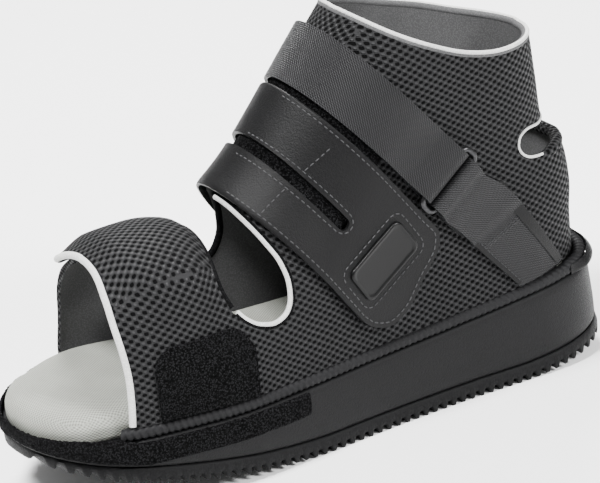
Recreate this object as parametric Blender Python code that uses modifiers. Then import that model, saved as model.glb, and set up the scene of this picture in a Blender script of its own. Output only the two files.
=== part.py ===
"""Post operative shoe for a left foot.

Metres, +Z up, toe towards -Y, outer side of the foot towards +X. The origin lies on
the floor, under the middle of the shoe. Places on the shoe are given in its side view,
as s, the way forward from the back of the heel, and z, the height above the floor.
"""
import math

import bmesh
import bpy
import numpy as np

MM = 0.001

# Sole
SOLE_LENGTH = 288.0 * MM
BALL_WIDTH = 101.0 * MM
HEEL_HEIGHT = 44.5 * MM
WAIST_HEIGHT = 35.0 * MM
BALL_HEIGHT = 32.0 * MM
TOE_HEIGHT = 34.5 * MM
TOE_SPRING = 25.5 * MM
HEEL_BEVEL = 7.5 * MM
HEEL_FLARE = 2.6 * MM
TREAD_THICKNESS = 8.0 * MM
TOE_TREAD_THICKNESS = 4.6 * MM
RIDGE_PITCH = 5.05 * MM
RIDGE_DEPTH = 3.0 * MM
RIDGE_TIP = 1.8 * MM
RAND_THICKNESS = 1.5 * MM
WELT_WIDTH = 5.6 * MM
WELT_HEIGHT = 5.0 * MM
INSOLE_HEIGHT = 13.0 * MM

# Upper
UPPER_HEIGHT = 150.0 * MM
ANKLE_WIDTH = 72.0 * MM
WALL = 3.0 * MM
UPPER_INSET = 2.0 * MM
HEEL_DEPTH = 44.0 * MM
PIPING = 4.0 * MM
SLOT_PIPING = 2.4 * MM
HEEL_LIP = 2.1 * MM

# Fastening
PATCH_THICKNESS = 1.5 * MM
PANEL_THICKNESS = 1.3 * MM
STRAP_THICKNESS = 1.8 * MM
STRAP_SLOT = 5.8 * MM
BADGE_LENGTH = 34.0 * MM
BADGE_WIDTH = 18.0 * MM
BADGE_THICKNESS = 1.3 * MM
RING_LENGTH = 35.0 * MM
RING_WIDTH = 11.0 * MM
RING_WIRE = 3.0 * MM
RING_CORNER = 3.0 * MM

CLEARANCE = 0.3 * MM

# Half widths of the sole. Columns: percent of the length from the heel, then the outer
# and inner half widths in percent of the ball width.
PLAN = (
    (0, 41.6, 41.6), (12.4, 38.1, 38.1), (26, 38.1, 36.6), (41.5, 40.6, 38.1), (57, 45.5, 42.6),
    (70, 49.5, 48.5), (82, 50.3, 51.5), (91, 50.0, 48.0), (100, 48.0, 37.0),
)
HEEL_ROUND = 14.5      # percent of the length that the heel's curve takes
TOE_ROUND = 19.5
HEEL_POWER = 2.2
TOE_POWER = 2.35
ROLL_POWER = 1.6       # how the tread lifts off the floor
HEEL_ROLL = 19.0       # percent of the length where the heel's lift starts
TOE_ROLL = 53.6

# Top of the sole: percent of the length, and which named height it has there.
SEAT = ((0, HEEL_HEIGHT), (34, WAIST_HEIGHT), (68, BALL_HEIGHT), (87, TOE_HEIGHT), (100, TOE_HEIGHT))

# Side view of the upper. Columns: percent of the sole's length from the heel, then the
# height above the sole in percent of the upper's height.
CREST = (
    (93.8, 38.5), (87.5, 43.8), (85.8, 45.0), (80.6, 49.9), (74.0, 51.4), (69.4, 50.2),
    (66.7, 46.6), (62.8, 53.0), (57.6, 61.5), (52.5, 72.0), (46.2, 85.6), (39.8, 99.0),
    (34.0, 110.7),
)
BACK = (
    (1.8, 3.7), (1.7, 14.4), (1.2, 23.7), (1.5, 31.7), (2.3, 37.5), (4.4, 43.0), (5.4, 48.0),
    (5.7, 58.2), (6.2, 71.8), (6.7, 82.7),
)
# How far below the crest the arch of the upper reaches its full width. Columns: percent
# of the length, then the outer and inner side in percent of the ball width.
ARCH = ((34.2, 42, 42), (51.8, 44, 44), (62.2, 48, 44), (74.6, 50, 43), (90.2, 52, 42))
ANKLE_NARROWS = (17, 63)        # percent of the upper's height where it narrows
ANKLE_FRONT = (51.8, 72.6)      # percent of the length where the narrowing ends

# Section lines of the upper fan out from the crest. Columns: percent along the crest,
# then percent of the length along the sole, or of the height up the heel.
FAN_SOLE = (
    (0, 93.3), (8, 87.1), (17, 79.8), (26, 72.6), (34, 65.3), (42, 53.9), (50, 41.5), (58, 29), (64, 19.7),
    (69, 12.4), (73, 7.3), (76, 4.1), (78.5, 2.5),
)
FAN_HEEL = ((81, 8), (84, 16), (87, 24), (90, 31), (92, 37), (94, 43), (96, 50), (98, 62), (100, 80))
FAN_STEPS = 2
SECTION_STEPS = 8

# Edges and overlays in the side view, as percent of length and of the upper's height.
TOE_EDGE_OUTER = (
    (88.6, -4.7), (88.3, 3.3), (88.0, 10), (87.6, 20), (87.5, 31), (86.9, 39), (85.9, 45), (85.0, 52),
)
TOE_EDGE_INNER = ((85.0, 52), (85.7, 46), (85.8, 42), (85.2, 39.2))
FLAP_END = ((85.2, 39.2), (84.0, 37.6), (80.0, 36), (73.0, 36), (66.3, 36))
THROAT_FRONT = ((65.4, 62), (66.1, 50), (67.4, 43), (68.2, 36), (67.6, 30.5))
THROAT_LOOP = (
    (67.6, 30.5), (66.2, 27.2), (64.4, 24.9), (62.2, 23.9), (60.3, 25.0), (59.0, 28.8),
    (58.7, 33.4), (59.1, 38.3), (60.3, 44.0), (62.2, 52), (64.0, 61.3),
)
THROAT_LOOP_INNER = (
    (67.6, 30.5), (66.2, 27.2), (64.2, 24.9), (61.2, 23.9), (58.4, 25.2), (56.6, 28.8),
    (56.0, 33.4), (56.3, 38.3), (57.6, 44.5), (60.6, 53), (64.0, 63.0),
)
COLLAR = (
    (42.5, 106), (38.9, 100.4), (34, 93.6), (28.5, 87.4), (22.9, 82.0), (17, 78.4),
    (10.5, 76.0), (5.2, 74.6), (-3.1, 73.5),
)
COLLAR_INNER = (
    (42.5, 106), (38.9, 100.7), (34, 96.0), (28.5, 91.4), (22.9, 86.8), (17, 82.4),
    (10.5, 77.4), (5.2, 74.8), (-3.1, 73.5),
)
HEEL_SLOT = (
    (-3.1, 39.4), (4.1, 39.6), (9.0, 40.2), (12.4, 41.6), (14.2, 43.6), (14.8, 46.0), (14.2, 48.2),
    (12.5, 48.8), (9.3, 47.2), (4.6, 45.6), (-3.1, 44.4),
)
FLAP_SEAM = 65.8                # percent of the length where the inner flap is sewn on
UNDER_FRONT = ((84.4, 55), (84.5, 42), (84.0, 33), (83.4, 20), (83.2, 4.2))
UNDER_REAR = ((69.6, 58), (70.8, 44), (71.6, 32), (68.5, 18), (66.3, 4.2))
UNDER_OUTER_END = 32            # percent of the height where it ends on the outer side
PATCH_ENDS = (66.5, 83.3)
PATCH_TOP = ((83.3, 24.5), (75, 26.0), (69.4, 25.8), (66.5, 24.0))
PATCH_CORNER = 10.0 * MM
PANEL_LOW = ((61.7, 66), (59.1, 54), (54.3, 42), (52.3, 36))
PANEL_UP = ((45.6, 99), (42.5, 87), (39.4, 76), (35.8, 67))
STRAP_LOW = ((50.8, 88), (41.7, 64.0), (32.5, 43.0))
STRAP_UP = ((44, 100), (35.4, 77.0), (25.4, 56.0))
ANCHOR_LOW = ((32.5, 41.5), (25, 22.1), (17.8, 4.6))
ANCHOR_UP = ((24.6, 55.0), (17.4, 33.0), (8.9, 5.4))
RING_CENTRE = (29.4, 46.8)
BADGE_CENTRE = (42.5, 30.2)
BADGE_TILT = -32.0              # degrees of its long side in the side view
STRAP_SLOT_END = (47.8, 43.5)
STRAP_SLOT_TOP = (60.4, 79.5)
# Double strap, from its front edge to its rear edge: where each line starts above the
# crest, then where it ends on the tab.
TAB = (
    (64.2, 61.5, 47.6, 15.1), (61.6, 64.0, 45.5, 11.5), (58.7, 68.0, 42.4, 9.8),
    (55.3, 73.0, 39.1, 12.4), (53.5, 76.0, 35.7, 20.0), (51.6, 79.5, 32.3, 27.6),
    (50.8, 81.0, 31.9, 32.0), (50.0, 82.5, 34.2, 38.6),
)


def smooth(xs, ys, x):
    """Value at x of a curve through the points, with no swing between them."""
    xs = np.asarray(xs, float)
    ys = np.asarray(ys, float)
    x = np.clip(np.asarray(x, float), xs[0], xs[-1])
    step = np.diff(xs)
    rise = np.diff(ys) / step
    slope = np.zeros_like(ys)
    slope[0], slope[-1] = rise[0], rise[-1]
    for i in range(1, len(xs) - 1):
        if rise[i - 1] * rise[i] > 0:
            before = 2 * step[i] + step[i - 1]
            after = step[i] + 2 * step[i - 1]
            slope[i] = (before + after) / (before / rise[i - 1] + after / rise[i])
    k = np.clip(np.searchsorted(xs, x, side="right") - 1, 0, len(step) - 1)
    t = (x - xs[k]) / step[k]
    bend = t * (1 - t) ** 2 * slope[k] - t * t * (1 - t) * slope[k + 1]
    return (1 + 2 * t) * (1 - t) ** 2 * ys[k] + t * t * (3 - 2 * t) * ys[k + 1] + step[k] * bend


def ease(t):
    t = np.clip(t, 0, 1)
    return t * t * (3 - 2 * t)


def column(table, index, unit=1.0):
    return np.array([row[index] for row in table], float) * unit


PERCENT_LENGTH = SOLE_LENGTH / 100
PERCENT_WIDTH = BALL_WIDTH / 100
PERCENT_HEIGHT = UPPER_HEIGHT / 100
HEEL_Y = (SOLE_LENGTH + CLEARANCE + RAND_THICKNESS - HEEL_FLARE) / 2
MIDDLE_X = 0.6 * MM    # the inner side is a little wider, so the last's middle lies here


def place(x, s, z):
    """Point of the model from the side view's s and z and the distance x outward."""
    x, s, z = np.broadcast_arrays(x, s, z)
    return np.stack([x + MIDDLE_X, HEEL_Y - s, z], axis=-1)


def seat(s):
    """Height of the top of the sole."""
    return smooth(column(SEAT, 0, PERCENT_LENGTH), column(SEAT, 1), s)


def upper_edge(s):
    """Height of the upper's lower edge, which stands on the welt."""
    return seat(s) + WELT_HEIGHT + 2 * CLEARANCE


def tread(s):
    """Height of the ridges' tips: flat in the middle, rolling up at heel and toe."""
    heel = HEEL_ROLL * PERCENT_LENGTH
    toe = TOE_ROLL * PERCENT_LENGTH
    heel_lift = HEEL_BEVEL * np.clip((heel - s) / heel, 0, None) ** ROLL_POWER
    toe_lift = TOE_SPRING * np.clip((s - toe) / (SOLE_LENGTH - toe), 0, None) ** ROLL_POWER
    return heel_lift + toe_lift


def parting(s):
    """Height of the joint between outsole and midsole."""
    ends = (0, 80 * PERCENT_LENGTH, SOLE_LENGTH)
    return tread(s) + smooth(ends, (TREAD_THICKNESS, TREAD_THICKNESS, TOE_TREAD_THICKNESS), s)


def half_plan(s, side):
    """Half width of the sole without the round of heel and toe."""
    return smooth(column(PLAN, 0, PERCENT_LENGTH), column(PLAN, 1 if side > 0 else 2, PERCENT_WIDTH), s)


def end_round(s, reach, power):
    """From 0 at the tip to 1 where the round end of the outline stops."""
    return (1 - (1 - np.clip(s / reach, 0, 1)) ** power) ** (1 / power)


def outline(s, side, heel_in, toe_in, side_in):
    """Half width at s of the sole's outline, moved inward by the three distances."""
    full = (s - heel_in) / (SOLE_LENGTH - heel_in - toe_in) * SOLE_LENGTH
    heel = end_round(full, HEEL_ROUND * PERCENT_LENGTH, HEEL_POWER)
    toe = end_round(SOLE_LENGTH - full, TOE_ROUND * PERCENT_LENGTH, TOE_POWER)
    return (half_plan(full, side) - side_in) * np.minimum(heel, toe)


def ring(stations, height, heel_in=0.0, toe_in=0.0, side_in=0.0):
    """Closed ring round the sole: out along the outer side, back along the inner one.

    Stations run from 0 at the heel to 1 at the toe.
    """
    s = heel_in + stations * (SOLE_LENGTH - heel_in - toe_in)
    outer = place(outline(s, 1, heel_in, toe_in, side_in), s, height(s))
    inner = place(-outline(s, -1, heel_in, toe_in, side_in), s, height(s))
    return np.concatenate([outer, inner[-2:0:-1]])


def round_stations(count):
    """Stations that lie closer together at the two round ends."""
    return (1 - np.cos(np.linspace(0, math.pi, count + 1))) / 2


def crest_points():
    """The upper's top line in the side view, from toe to collar, in even steps."""
    points = spots(CREST)
    way = np.concatenate([[0], np.cumsum(np.linalg.norm(np.diff(points, axis=0), axis=1))])
    t = np.linspace(0, way[-1], 161)
    return np.stack([smooth(way, points[:, 0], t), smooth(way, points[:, 1], t)], axis=1)


def spots(table):
    """Side view points from a table of percents."""
    s = column(table, 0, PERCENT_LENGTH)
    return np.stack([s, seat(s) + column(table, 1, PERCENT_HEIGHT)], axis=1)


CREST_LINE = crest_points()
BACK_LINE = spots(BACK)


def below_crest(s, z):
    """Distance from the crest line, negative above it."""
    point = np.stack([np.ravel(s), np.ravel(z)], axis=1)[:, None]
    start = CREST_LINE[:-1]
    way = np.diff(CREST_LINE, axis=0)
    t = np.clip(((point - start) * way).sum(2) / (way * way).sum(1), 0, 1)
    offset = point - (start + t[..., None] * way)
    distance = np.linalg.norm(offset, axis=2)
    nearest = distance.argmin(1)
    rows = np.arange(len(nearest))
    side = way[nearest, 0] * offset[rows, nearest, 1] - way[nearest, 1] * offset[rows, nearest, 0]
    return np.reshape(np.where(side < 0, -1, 1) * distance[rows, nearest], np.shape(s))


def back_line(z):
    """How far forward the back of the upper lies at height z."""
    return smooth(BACK_LINE[:, 1], BACK_LINE[:, 0], z)


def breadth(s, z, side):
    """Half width of the upper at s and z before its instep and heel are rounded."""
    toe = end_round(SOLE_LENGTH - s, TOE_ROUND * PERCENT_LENGTH, TOE_POWER)
    foot = half_plan(s, side) * toe - UPPER_INSET
    low, high = (WAIST_HEIGHT + share * PERCENT_HEIGHT for share in ANKLE_NARROWS)
    rear, front = (share * PERCENT_LENGTH for share in ANKLE_FRONT)
    narrow = ease((z - low) / (high - low)) * np.clip((front - s) / (front - rear), 0, 1)
    return foot + (ANKLE_WIDTH / 2 - foot) * narrow


def fullness(s, z, side):
    """Square of the share of its breadth that the upper has at s and z."""
    shares = column(ARCH, 0, PERCENT_LENGTH)
    outer = smooth(shares, column(ARCH, 1, PERCENT_WIDTH), s)
    inner = smooth(shares, column(ARCH, 2, PERCENT_WIDTH), s)
    arch = np.where(side < 0, inner, outer)
    top = 1 - np.clip(1 - below_crest(s, z) / arch, 0, None) ** 2
    back = 1 - np.clip(1 - (s - back_line(z)) / HEEL_DEPTH, 0, None) ** 2
    return top * back


def level(x, s, z):
    """Zero on the outer face of the upper, negative inside it."""
    side = np.where(x < 0, -1, 1)
    half = np.where(side > 0, breadth(s, z, 1), breadth(s, z, -1))
    return (x / half) ** 2 - fullness(s, z, side)


def on_upper(side, s, z, height=0.0):
    """Point at s and z on the upper's outer face, raised by height along its normal.

    Side is 1 on the outer side, -1 on the inner one and 0 on the middle line.
    """
    side, s, z, height = (np.asarray(v, float) for v in np.broadcast_arrays(side, s, z, height))
    half = np.where(side < 0, breadth(s, z, -1), breadth(s, z, 1))
    x = side * half * np.sqrt(np.clip(fullness(s, z, side), 0, None))
    step = 0.2 * MM
    slope_x = level(x + step, s, z) - level(x - step, s, z)
    slope_s = level(x, s + step, z) - level(x, s - step, z)
    slope_z = level(x, s, z + step) - level(x, s, z - step)
    size = np.sqrt(slope_x ** 2 + slope_s ** 2 + slope_z ** 2)
    return place(x + height * slope_x / size, s + height * slope_s / size, z + height * slope_z / size)


def dense(points, count=240):
    """A smooth line through side view points, in even steps."""
    points = np.asarray(points, float)
    way = np.concatenate([[0], np.cumsum(np.linalg.norm(np.diff(points, axis=0), axis=1))])
    t = np.linspace(0, way[-1], count)
    return np.stack([smooth(way, points[:, 0], t), smooth(way, points[:, 1], t)], axis=1)


def at_shares(line, shares):
    """Points of a side view line at shares of its length."""
    way = np.concatenate([[0], np.cumsum(np.linalg.norm(np.diff(line, axis=0), axis=1))])
    t = np.asarray(shares) * way[-1]
    return np.stack([np.interp(t, way, line[:, 0]), np.interp(t, way, line[:, 1])], axis=1)


def trimmed(points):
    """The part of a side view line that lies on the upper, cut where it meets the
    crest or the back."""
    line = dense(points)
    depth = np.minimum(below_crest(line[:, 0], line[:, 1]), line[:, 0] - back_line(line[:, 1]))
    inside = np.flatnonzero(depth > 0)
    first, last = inside[0], inside[-1]
    kept = [line[first:last + 1]]
    if first > 0:
        t = depth[first] / (depth[first] - depth[first - 1])
        kept.insert(0, (line[first] + t * (line[first - 1] - line[first]))[None])
    if last < len(line) - 1:
        t = depth[last] / (depth[last] - depth[last + 1])
        kept.append((line[last] + t * (line[last + 1] - line[last]))[None])
    return np.concatenate(kept)


def shifted(points, distance):
    """A side view line moved sideways, to the left of its own direction."""
    line = dense(points)
    way = np.gradient(line, axis=0)
    way /= np.linalg.norm(way, axis=1)[:, None]
    return line + distance * np.stack([-way[:, 1], way[:, 0]], axis=1)


def from_middle(points, steps):
    """Points from the middle line of the shoe down to a line's end, closer at the middle."""
    return at_shares(trimmed(points), 1 - np.cos(np.linspace(0, math.pi / 2, steps + 1)))


def middle_to_middle(points, steps):
    """Points of a line that starts and ends on the middle line of the shoe."""
    return at_shares(trimmed(points), round_stations(steps))


def across(outer, inner):
    """One path over the crest: up the inner side, then down the outer side.

    Both are given from the middle line down. Returns side, s and z for each point.
    """
    side = np.concatenate([-np.ones(len(inner) - 1), [0], np.ones(len(outer) - 1)])
    line = np.concatenate([inner[:0:-1], outer])
    return side, line[:, 0], line[:, 1]


def collection(name):
    made = bpy.data.collections.new(name)
    bpy.context.scene.collection.children.link(made)
    return made


def finish(name, colour, roughness, metallic=0.0):
    """A plain material."""
    material = bpy.data.materials.new(name)
    material.use_nodes = True
    shader = material.node_tree.nodes["Principled BSDF"]
    shader.inputs["Base Color"].default_value = (*colour, 1.0)
    shader.inputs["Roughness"].default_value = roughness
    shader.inputs["Metallic"].default_value = metallic
    return material


def add(name, mesh, group, material=None):
    """Puts a mesh into the model as a named object."""
    made = bpy.data.objects.new(name, mesh)
    if material:
        mesh.materials.append(material)
        mesh.shade_smooth()
        mesh.set_sharp_from_angle(angle=math.radians(35))
    group.objects.link(made)
    return made


def mesh_from(name, points, faces):
    """A mesh of points and faces, with doubled points joined and faces turned outward."""
    work = bmesh.new()
    corners = [work.verts.new(point) for point in points]
    for face in faces:
        work.faces.new([corners[i] for i in face])
    bmesh.ops.remove_doubles(work, verts=work.verts, dist=0.005 * MM)
    bmesh.ops.dissolve_degenerate(work, dist=0.005 * MM, edges=work.edges)
    bmesh.ops.recalc_face_normals(work, faces=work.faces)
    if work.calc_volume(signed=True) < 0:
        bmesh.ops.reverse_faces(work, faces=work.faces)
    mesh = bpy.data.meshes.new(name)
    work.to_mesh(mesh)
    work.free()
    return mesh


def loft(name, rings, group, material, flat_ends=True):
    """A solid skin over closed rings. Flat ends are filled with quads from side to side,
    which needs rings that run out along one side and back along the other."""
    count = len(rings[0])
    faces = []
    for k in range(len(rings) - 1):
        for i in range(count):
            j = (i + 1) % count
            faces.append((k * count + i, k * count + j, (k + 1) * count + j, (k + 1) * count + i))
    for base in (0, (len(rings) - 1) * count):
        if flat_ends:
            half = count // 2
            faces += [(base + i, base + i + 1, base + (count - i - 1) % count, base + (count - i) % count)
                      for i in range(1, half - 1)]
            faces.append((base, base + 1, base + count - 1))
            faces.append((base + half, base + half - 1, base + half + 1))
        else:
            faces.append(tuple(range(base, base + count)))
    return add(name, mesh_from(name, np.concatenate(rings), faces), group, material)


def grid_faces(rows, columns, start=0):
    """Quads over a grid of points."""
    return [(start + i * columns + j, start + i * columns + j + 1,
             start + (i + 1) * columns + j + 1, start + (i + 1) * columns + j)
            for i in range(rows - 1) for j in range(columns - 1)]


def slab(name, outer, inner, group, material):
    """A solid between two grids of points with the same rows and columns."""
    rows, columns = outer.shape[:2]
    size = rows * columns
    faces = grid_faces(rows, columns) + grid_faces(rows, columns, size)
    edge = [j for j in range(columns)]
    edge += [i * columns + columns - 1 for i in range(1, rows)]
    edge += [(rows - 1) * columns + j for j in range(columns - 2, -1, -1)]
    edge += [i * columns for i in range(rows - 2, 0, -1)]
    for k, a in enumerate(edge):
        b = edge[(k + 1) % len(edge)]
        faces.append((a, b, size + b, size + a))
    points = np.concatenate([outer.reshape(-1, 3), inner.reshape(-1, 3)])
    return add(name, mesh_from(name, points, faces), group, material)


def overlay(name, side, s, z, lift, thickness, group, material):
    """A layer on the upper, over a grid of side view points."""
    outer = on_upper(side, s, z, lift + thickness)
    inner = on_upper(side, s, z, lift)
    return slab(name, outer, inner, group, material)


def tube(name, points, width, closed, group, material):
    """A round cord along points."""
    curve = bpy.data.curves.new(name, "CURVE")
    curve.dimensions = "3D"
    curve.bevel_depth = width / 2
    curve.bevel_resolution = 1
    curve.use_fill_caps = True
    spline = curve.splines.new("POLY")
    spline.points.add(len(points) - 1)
    for target, point in zip(spline.points, points):
        target.co = (*point, 1)
    spline.use_cyclic_u = closed
    curve.materials.append(material)
    made = bpy.data.objects.new(name, curve)
    group.objects.link(made)
    return made


def prism(name, points, x_from, x_to, group):
    """A cutter with a side view outline, reaching across the shoe."""
    return cutter(name, ((x_from, points), (x_to, points)), group)


def cutter(name, outlines, group):
    """A cutter through side view outlines at several distances x."""
    count = len(outlines[0][1])
    corners = np.concatenate([place(x, points[:, 0], points[:, 1]) for x, points in outlines])
    faces = [(k + i, k + (i + 1) % count, k + count + (i + 1) % count, k + count + i)
             for k in range(0, (len(outlines) - 1) * count, count) for i in range(count)]
    faces += [tuple(range(count)), tuple(range(len(corners) - 1, len(corners) - count - 1, -1))]
    made = add(name, mesh_from(name, corners, faces), group)
    made.hide_render = True
    made.display_type = "WIRE"
    return made


def cut(target, cutter):
    modifier = target.modifiers.new(cutter.name, "BOOLEAN")
    modifier.operation = "DIFFERENCE"
    modifier.solver = "EXACT"
    modifier.object = cutter


def make_outsole(group, material):
    """The tread: a sheet with rounded ridges across it from heel to toe."""
    slope = (RIDGE_PITCH - 2 * RIDGE_TIP) / 2
    count = int(SOLE_LENGTH / RIDGE_PITCH)
    first = (SOLE_LENGTH - count * RIDGE_PITCH + slope) / 2
    marks, depths = [0.0], [RIDGE_DEPTH]
    for i in range(count):
        start = first + i * RIDGE_PITCH
        marks += [start, start + RIDGE_TIP, start + RIDGE_TIP + slope, start + 2 * RIDGE_TIP + slope]
        depths += [0.0, 0.0, RIDGE_DEPTH, RIDGE_DEPTH]
    inside = np.array(marks) < SOLE_LENGTH
    s = np.append(np.array(marks)[inside], SOLE_LENGTH)
    depth = np.append(np.array(depths)[inside], RIDGE_DEPTH)
    stations = s / SOLE_LENGTH

    def ridges(at):
        return tread(at) + np.interp(at, s, depth)

    rings = [ring(stations, ridges, -HEEL_FLARE), ring(stations, parting, -HEEL_FLARE * 0.8)]
    return loft("outsole", rings, group, material)


def make_midsole(group, material):
    """The thick wedge between tread and foot."""
    stations = round_stations(34)
    edge = 1.4 * MM

    def bottom(s):
        return parting(s) + CLEARANCE

    def shoulder(s):
        return seat(s) - edge

    rings = [
        ring(stations, bottom, -HEEL_FLARE * 0.8),
        ring(stations, shoulder),
        ring(stations, seat, edge, edge, edge),
    ]
    return loft("midsole", rings, group, material)


def side_path(stations, grow, height):
    """Points along the sole's side for stations from -1 to 1: the outer side is positive."""
    s = -grow + np.abs(stations) * (SOLE_LENGTH + 2 * grow)
    outer = outline(s, 1, -grow, -grow, -grow)
    inner = outline(s, -1, -grow, -grow, -grow)
    return place(np.where(stations > 0, outer, -inner), s, height(s))


def make_toe_rand(group, material):
    """A band of loop fabric that wraps the toe of the midsole and stands up as a rim."""
    start = 58 / 100
    reach = np.sin(np.linspace(0, math.pi / 2, 13))
    stations = start + (1 - start) * reach
    stations = np.concatenate([stations, -stations[-2::-1]])

    def bottom(s):
        return np.maximum(parting(s) + 1.5 * MM, seat(s) - 11 * MM)

    def top(s):
        rim = ease((s / SOLE_LENGTH - 0.86) / 0.06)
        return seat(s) - 0.6 * MM + 3.8 * MM * rim

    def layer(grow):
        shares = (0, 0.5, 1)
        return np.stack([side_path(stations, grow, lambda s: bottom(s) + share * (top(s) - bottom(s)))
                         for share in shares])

    return slab("toe_rand", layer(CLEARANCE + RAND_THICKNESS), layer(CLEARANCE), group, material)


def make_welt(group, material):
    """The overlocked seam that joins upper and sole, from the toe round the heel."""
    start = 90 / 100
    stations = start * round_stations(20)[:0:-1]
    stations = np.concatenate([stations, [1e-9], -stations[::-1]])
    centre = -0.4 * MM - WELT_WIDTH / 2
    turns = np.linspace(0, 2 * math.pi, 7)[:-1]
    square = np.stack([np.cos(turns), np.sin(turns) / math.sin(math.pi / 3)], axis=1)
    lines = [side_path(stations, centre + WELT_WIDTH / 2 * across_it,
                       lambda s, up=up: seat(s) + CLEARANCE + WELT_HEIGHT / 2 * (1 + up))
             for across_it, up in square]
    return loft("welt", list(np.stack(lines, axis=1)), group, material, flat_ends=False)


def make_insole(group, material):
    """A crowned cushion that lies in the shoe and shows at the open toe."""
    stations = round_stations(21)
    sides = ((0, 9.5), (10, 8.0), (40, 7.2), (82, 7.8), (91.5, 7.8), (94, 3.6), (96, 2.2), (100, 1.8))
    # Columns: distance in from the edge, and height in percent of the insole's height.
    dome = ((0.4, 0), (0, 14), (0, 42), (1.6, 70), (5.2, 89), (13.0, 100))
    rings = []
    for inward, up in dome:
        def side_in(s, inward=inward):
            return smooth(column(sides, 0, PERCENT_LENGTH), column(sides, 1, MM), s) + inward * MM

        heel_in = side_in(0.0)
        toe_in = side_in(SOLE_LENGTH)
        s = heel_in + stations * (SOLE_LENGTH - heel_in - toe_in)
        z = seat(s) + CLEARANCE + INSOLE_HEIGHT * up / 100
        outer = place(outline(s, 1, heel_in, toe_in, side_in(s)), s, z)
        inner = place(-outline(s, -1, heel_in, toe_in, side_in(s)), s, z)
        rings.append(np.concatenate([outer, inner[-2:0:-1]]))
    return loft("insole", rings, group, material)


def section_lines():
    """Ends of the upper's section lines: on the crest, and on the sole or up the heel."""
    sole = np.array(FAN_SOLE, float)
    heel = np.array(FAN_HEEL, float)
    fine = np.linspace(0, len(sole) - 1, (len(sole) - 1) * FAN_STEPS + 1)
    index = np.arange(len(sole))
    crest = list(smooth(index, sole[:, 0], fine))
    s = list(smooth(index, sole[:, 1] * PERCENT_LENGTH, fine))
    ends = [(a, upper_edge(a)) for a in s]
    corner = upper_edge(0.0)
    crest.append((crest[-1] + heel[0, 0]) / 2)
    ends.append((back_line(corner), corner))
    fine = np.linspace(0, len(heel) - 1, (len(heel) - 1) * FAN_STEPS + 1)
    index = np.arange(len(heel))
    crest += list(smooth(index, heel[:, 0], fine))
    heights = seat(0.0) + smooth(index, heel[:, 1] * PERCENT_HEIGHT, fine)
    ends += [(back_line(z), z) for z in heights]
    closed = len(heights) + 1
    return at_shares(CREST_LINE, np.array(crest) / 100), np.array(ends, float), closed


def make_upper(group, cutters, material):
    """The mesh upper: toe flap, quarters, heel and ankle wrap in one hollow solid."""
    tops, ends, closed = section_lines()
    share = (1 - np.cos(np.linspace(0, math.pi, SECTION_STEPS + 1))) / 2
    s = tops[:, :1] + (ends[:, :1] - tops[:, :1]) * share
    z = tops[:, 1:] + (ends[:, 1:] - tops[:, 1:]) * share
    side = np.ones_like(s)
    side[:, 0] = 0
    side[-closed:, -1] = 0
    outer = on_upper(side, s, z)
    inner = on_upper(-side, s, z)
    grid = np.concatenate([inner[:, :0:-1], outer], axis=1)
    rows, columns = grid.shape[:2]
    mesh = mesh_from("upper", grid.reshape(-1, 3), grid_faces(rows, columns))
    upper = add("upper", mesh, group, material)
    if not faces_outward(mesh):
        mesh.flip_normals()
    wall = upper.modifiers.new("wall", "SOLIDIFY")
    wall.thickness = WALL
    wall.offset = -1
    wall.use_even_offset = True
    wall.use_quality_normals = True
    for cutter in upper_cutters(cutters):
        cut(upper, cutter)
    return upper


def faces_outward(mesh):
    """True when the faces of an open shell look away from the shoe's inside."""
    total = 0.0
    for face in mesh.polygons:
        total += face.normal.x * face.center.x * face.area
    return total > 0


def upper_cutters(cutters):
    """The openings of the upper. Each is wider than it looks by the piping that lines it."""
    reach = BALL_WIDTH
    back = PIPING + 1.5 * CLEARANCE
    high = 2 * UPPER_HEIGHT
    toe_front = SOLE_LENGTH + 20 * MM
    toe_back = back + 2 * CLEARANCE
    outer_edge = shifted(spots(TOE_EDGE_OUTER), toe_back)
    inner_edge = shifted(spots(TOE_EDGE_INNER), -toe_back)
    end_edge = shifted(spots(FLAP_END), -toe_back)
    front = [(toe_front, outer_edge[-1, 1]), (toe_front, 0.0)]
    yield prism("cut_toe_outer", np.concatenate([outer_edge[::8], outer_edge[-1:], front]), 0.0, reach, cutters)
    inner_line = np.concatenate([inner_edge[:-70:8], end_edge[20::8]])
    seam = FLAP_SEAM * PERCENT_LENGTH
    low = [(seam, end_edge[-1, 1]), (seam, 0.0), (toe_front, 0.0), (toe_front, inner_edge[0, 1])]
    yield prism("cut_toe_inner", np.concatenate([inner_line, low]), -reach, 0.0, cutters)
    blend = 3 * MM
    outer, inner = (shifted(np.concatenate([spots(THROAT_FRONT)[:-1], spots(table)]), back)[::5]
                    for table in (THROAT_LOOP, THROAT_LOOP_INNER))
    yield cutter("cut_throat", ((-reach, inner), (-blend, inner), (blend, outer), (reach, outer)), cutters)
    outer, inner = (shifted(spots(table), back)[::8] for table in (COLLAR, COLLAR_INNER))
    above = [(outer[-1, 0], high), (outer[0, 0], high)]
    outer, inner = (np.concatenate([line, above]) for line in (outer, inner))
    yield cutter("cut_collar", ((-reach, inner), (-blend, inner), (blend, outer), (reach, outer)), cutters)
    slot = shifted(spots(HEEL_SLOT), -SLOT_PIPING - 3 * CLEARANCE)
    yield prism("cut_heel_slot", slot[::5], -reach, reach, cutters)


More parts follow.
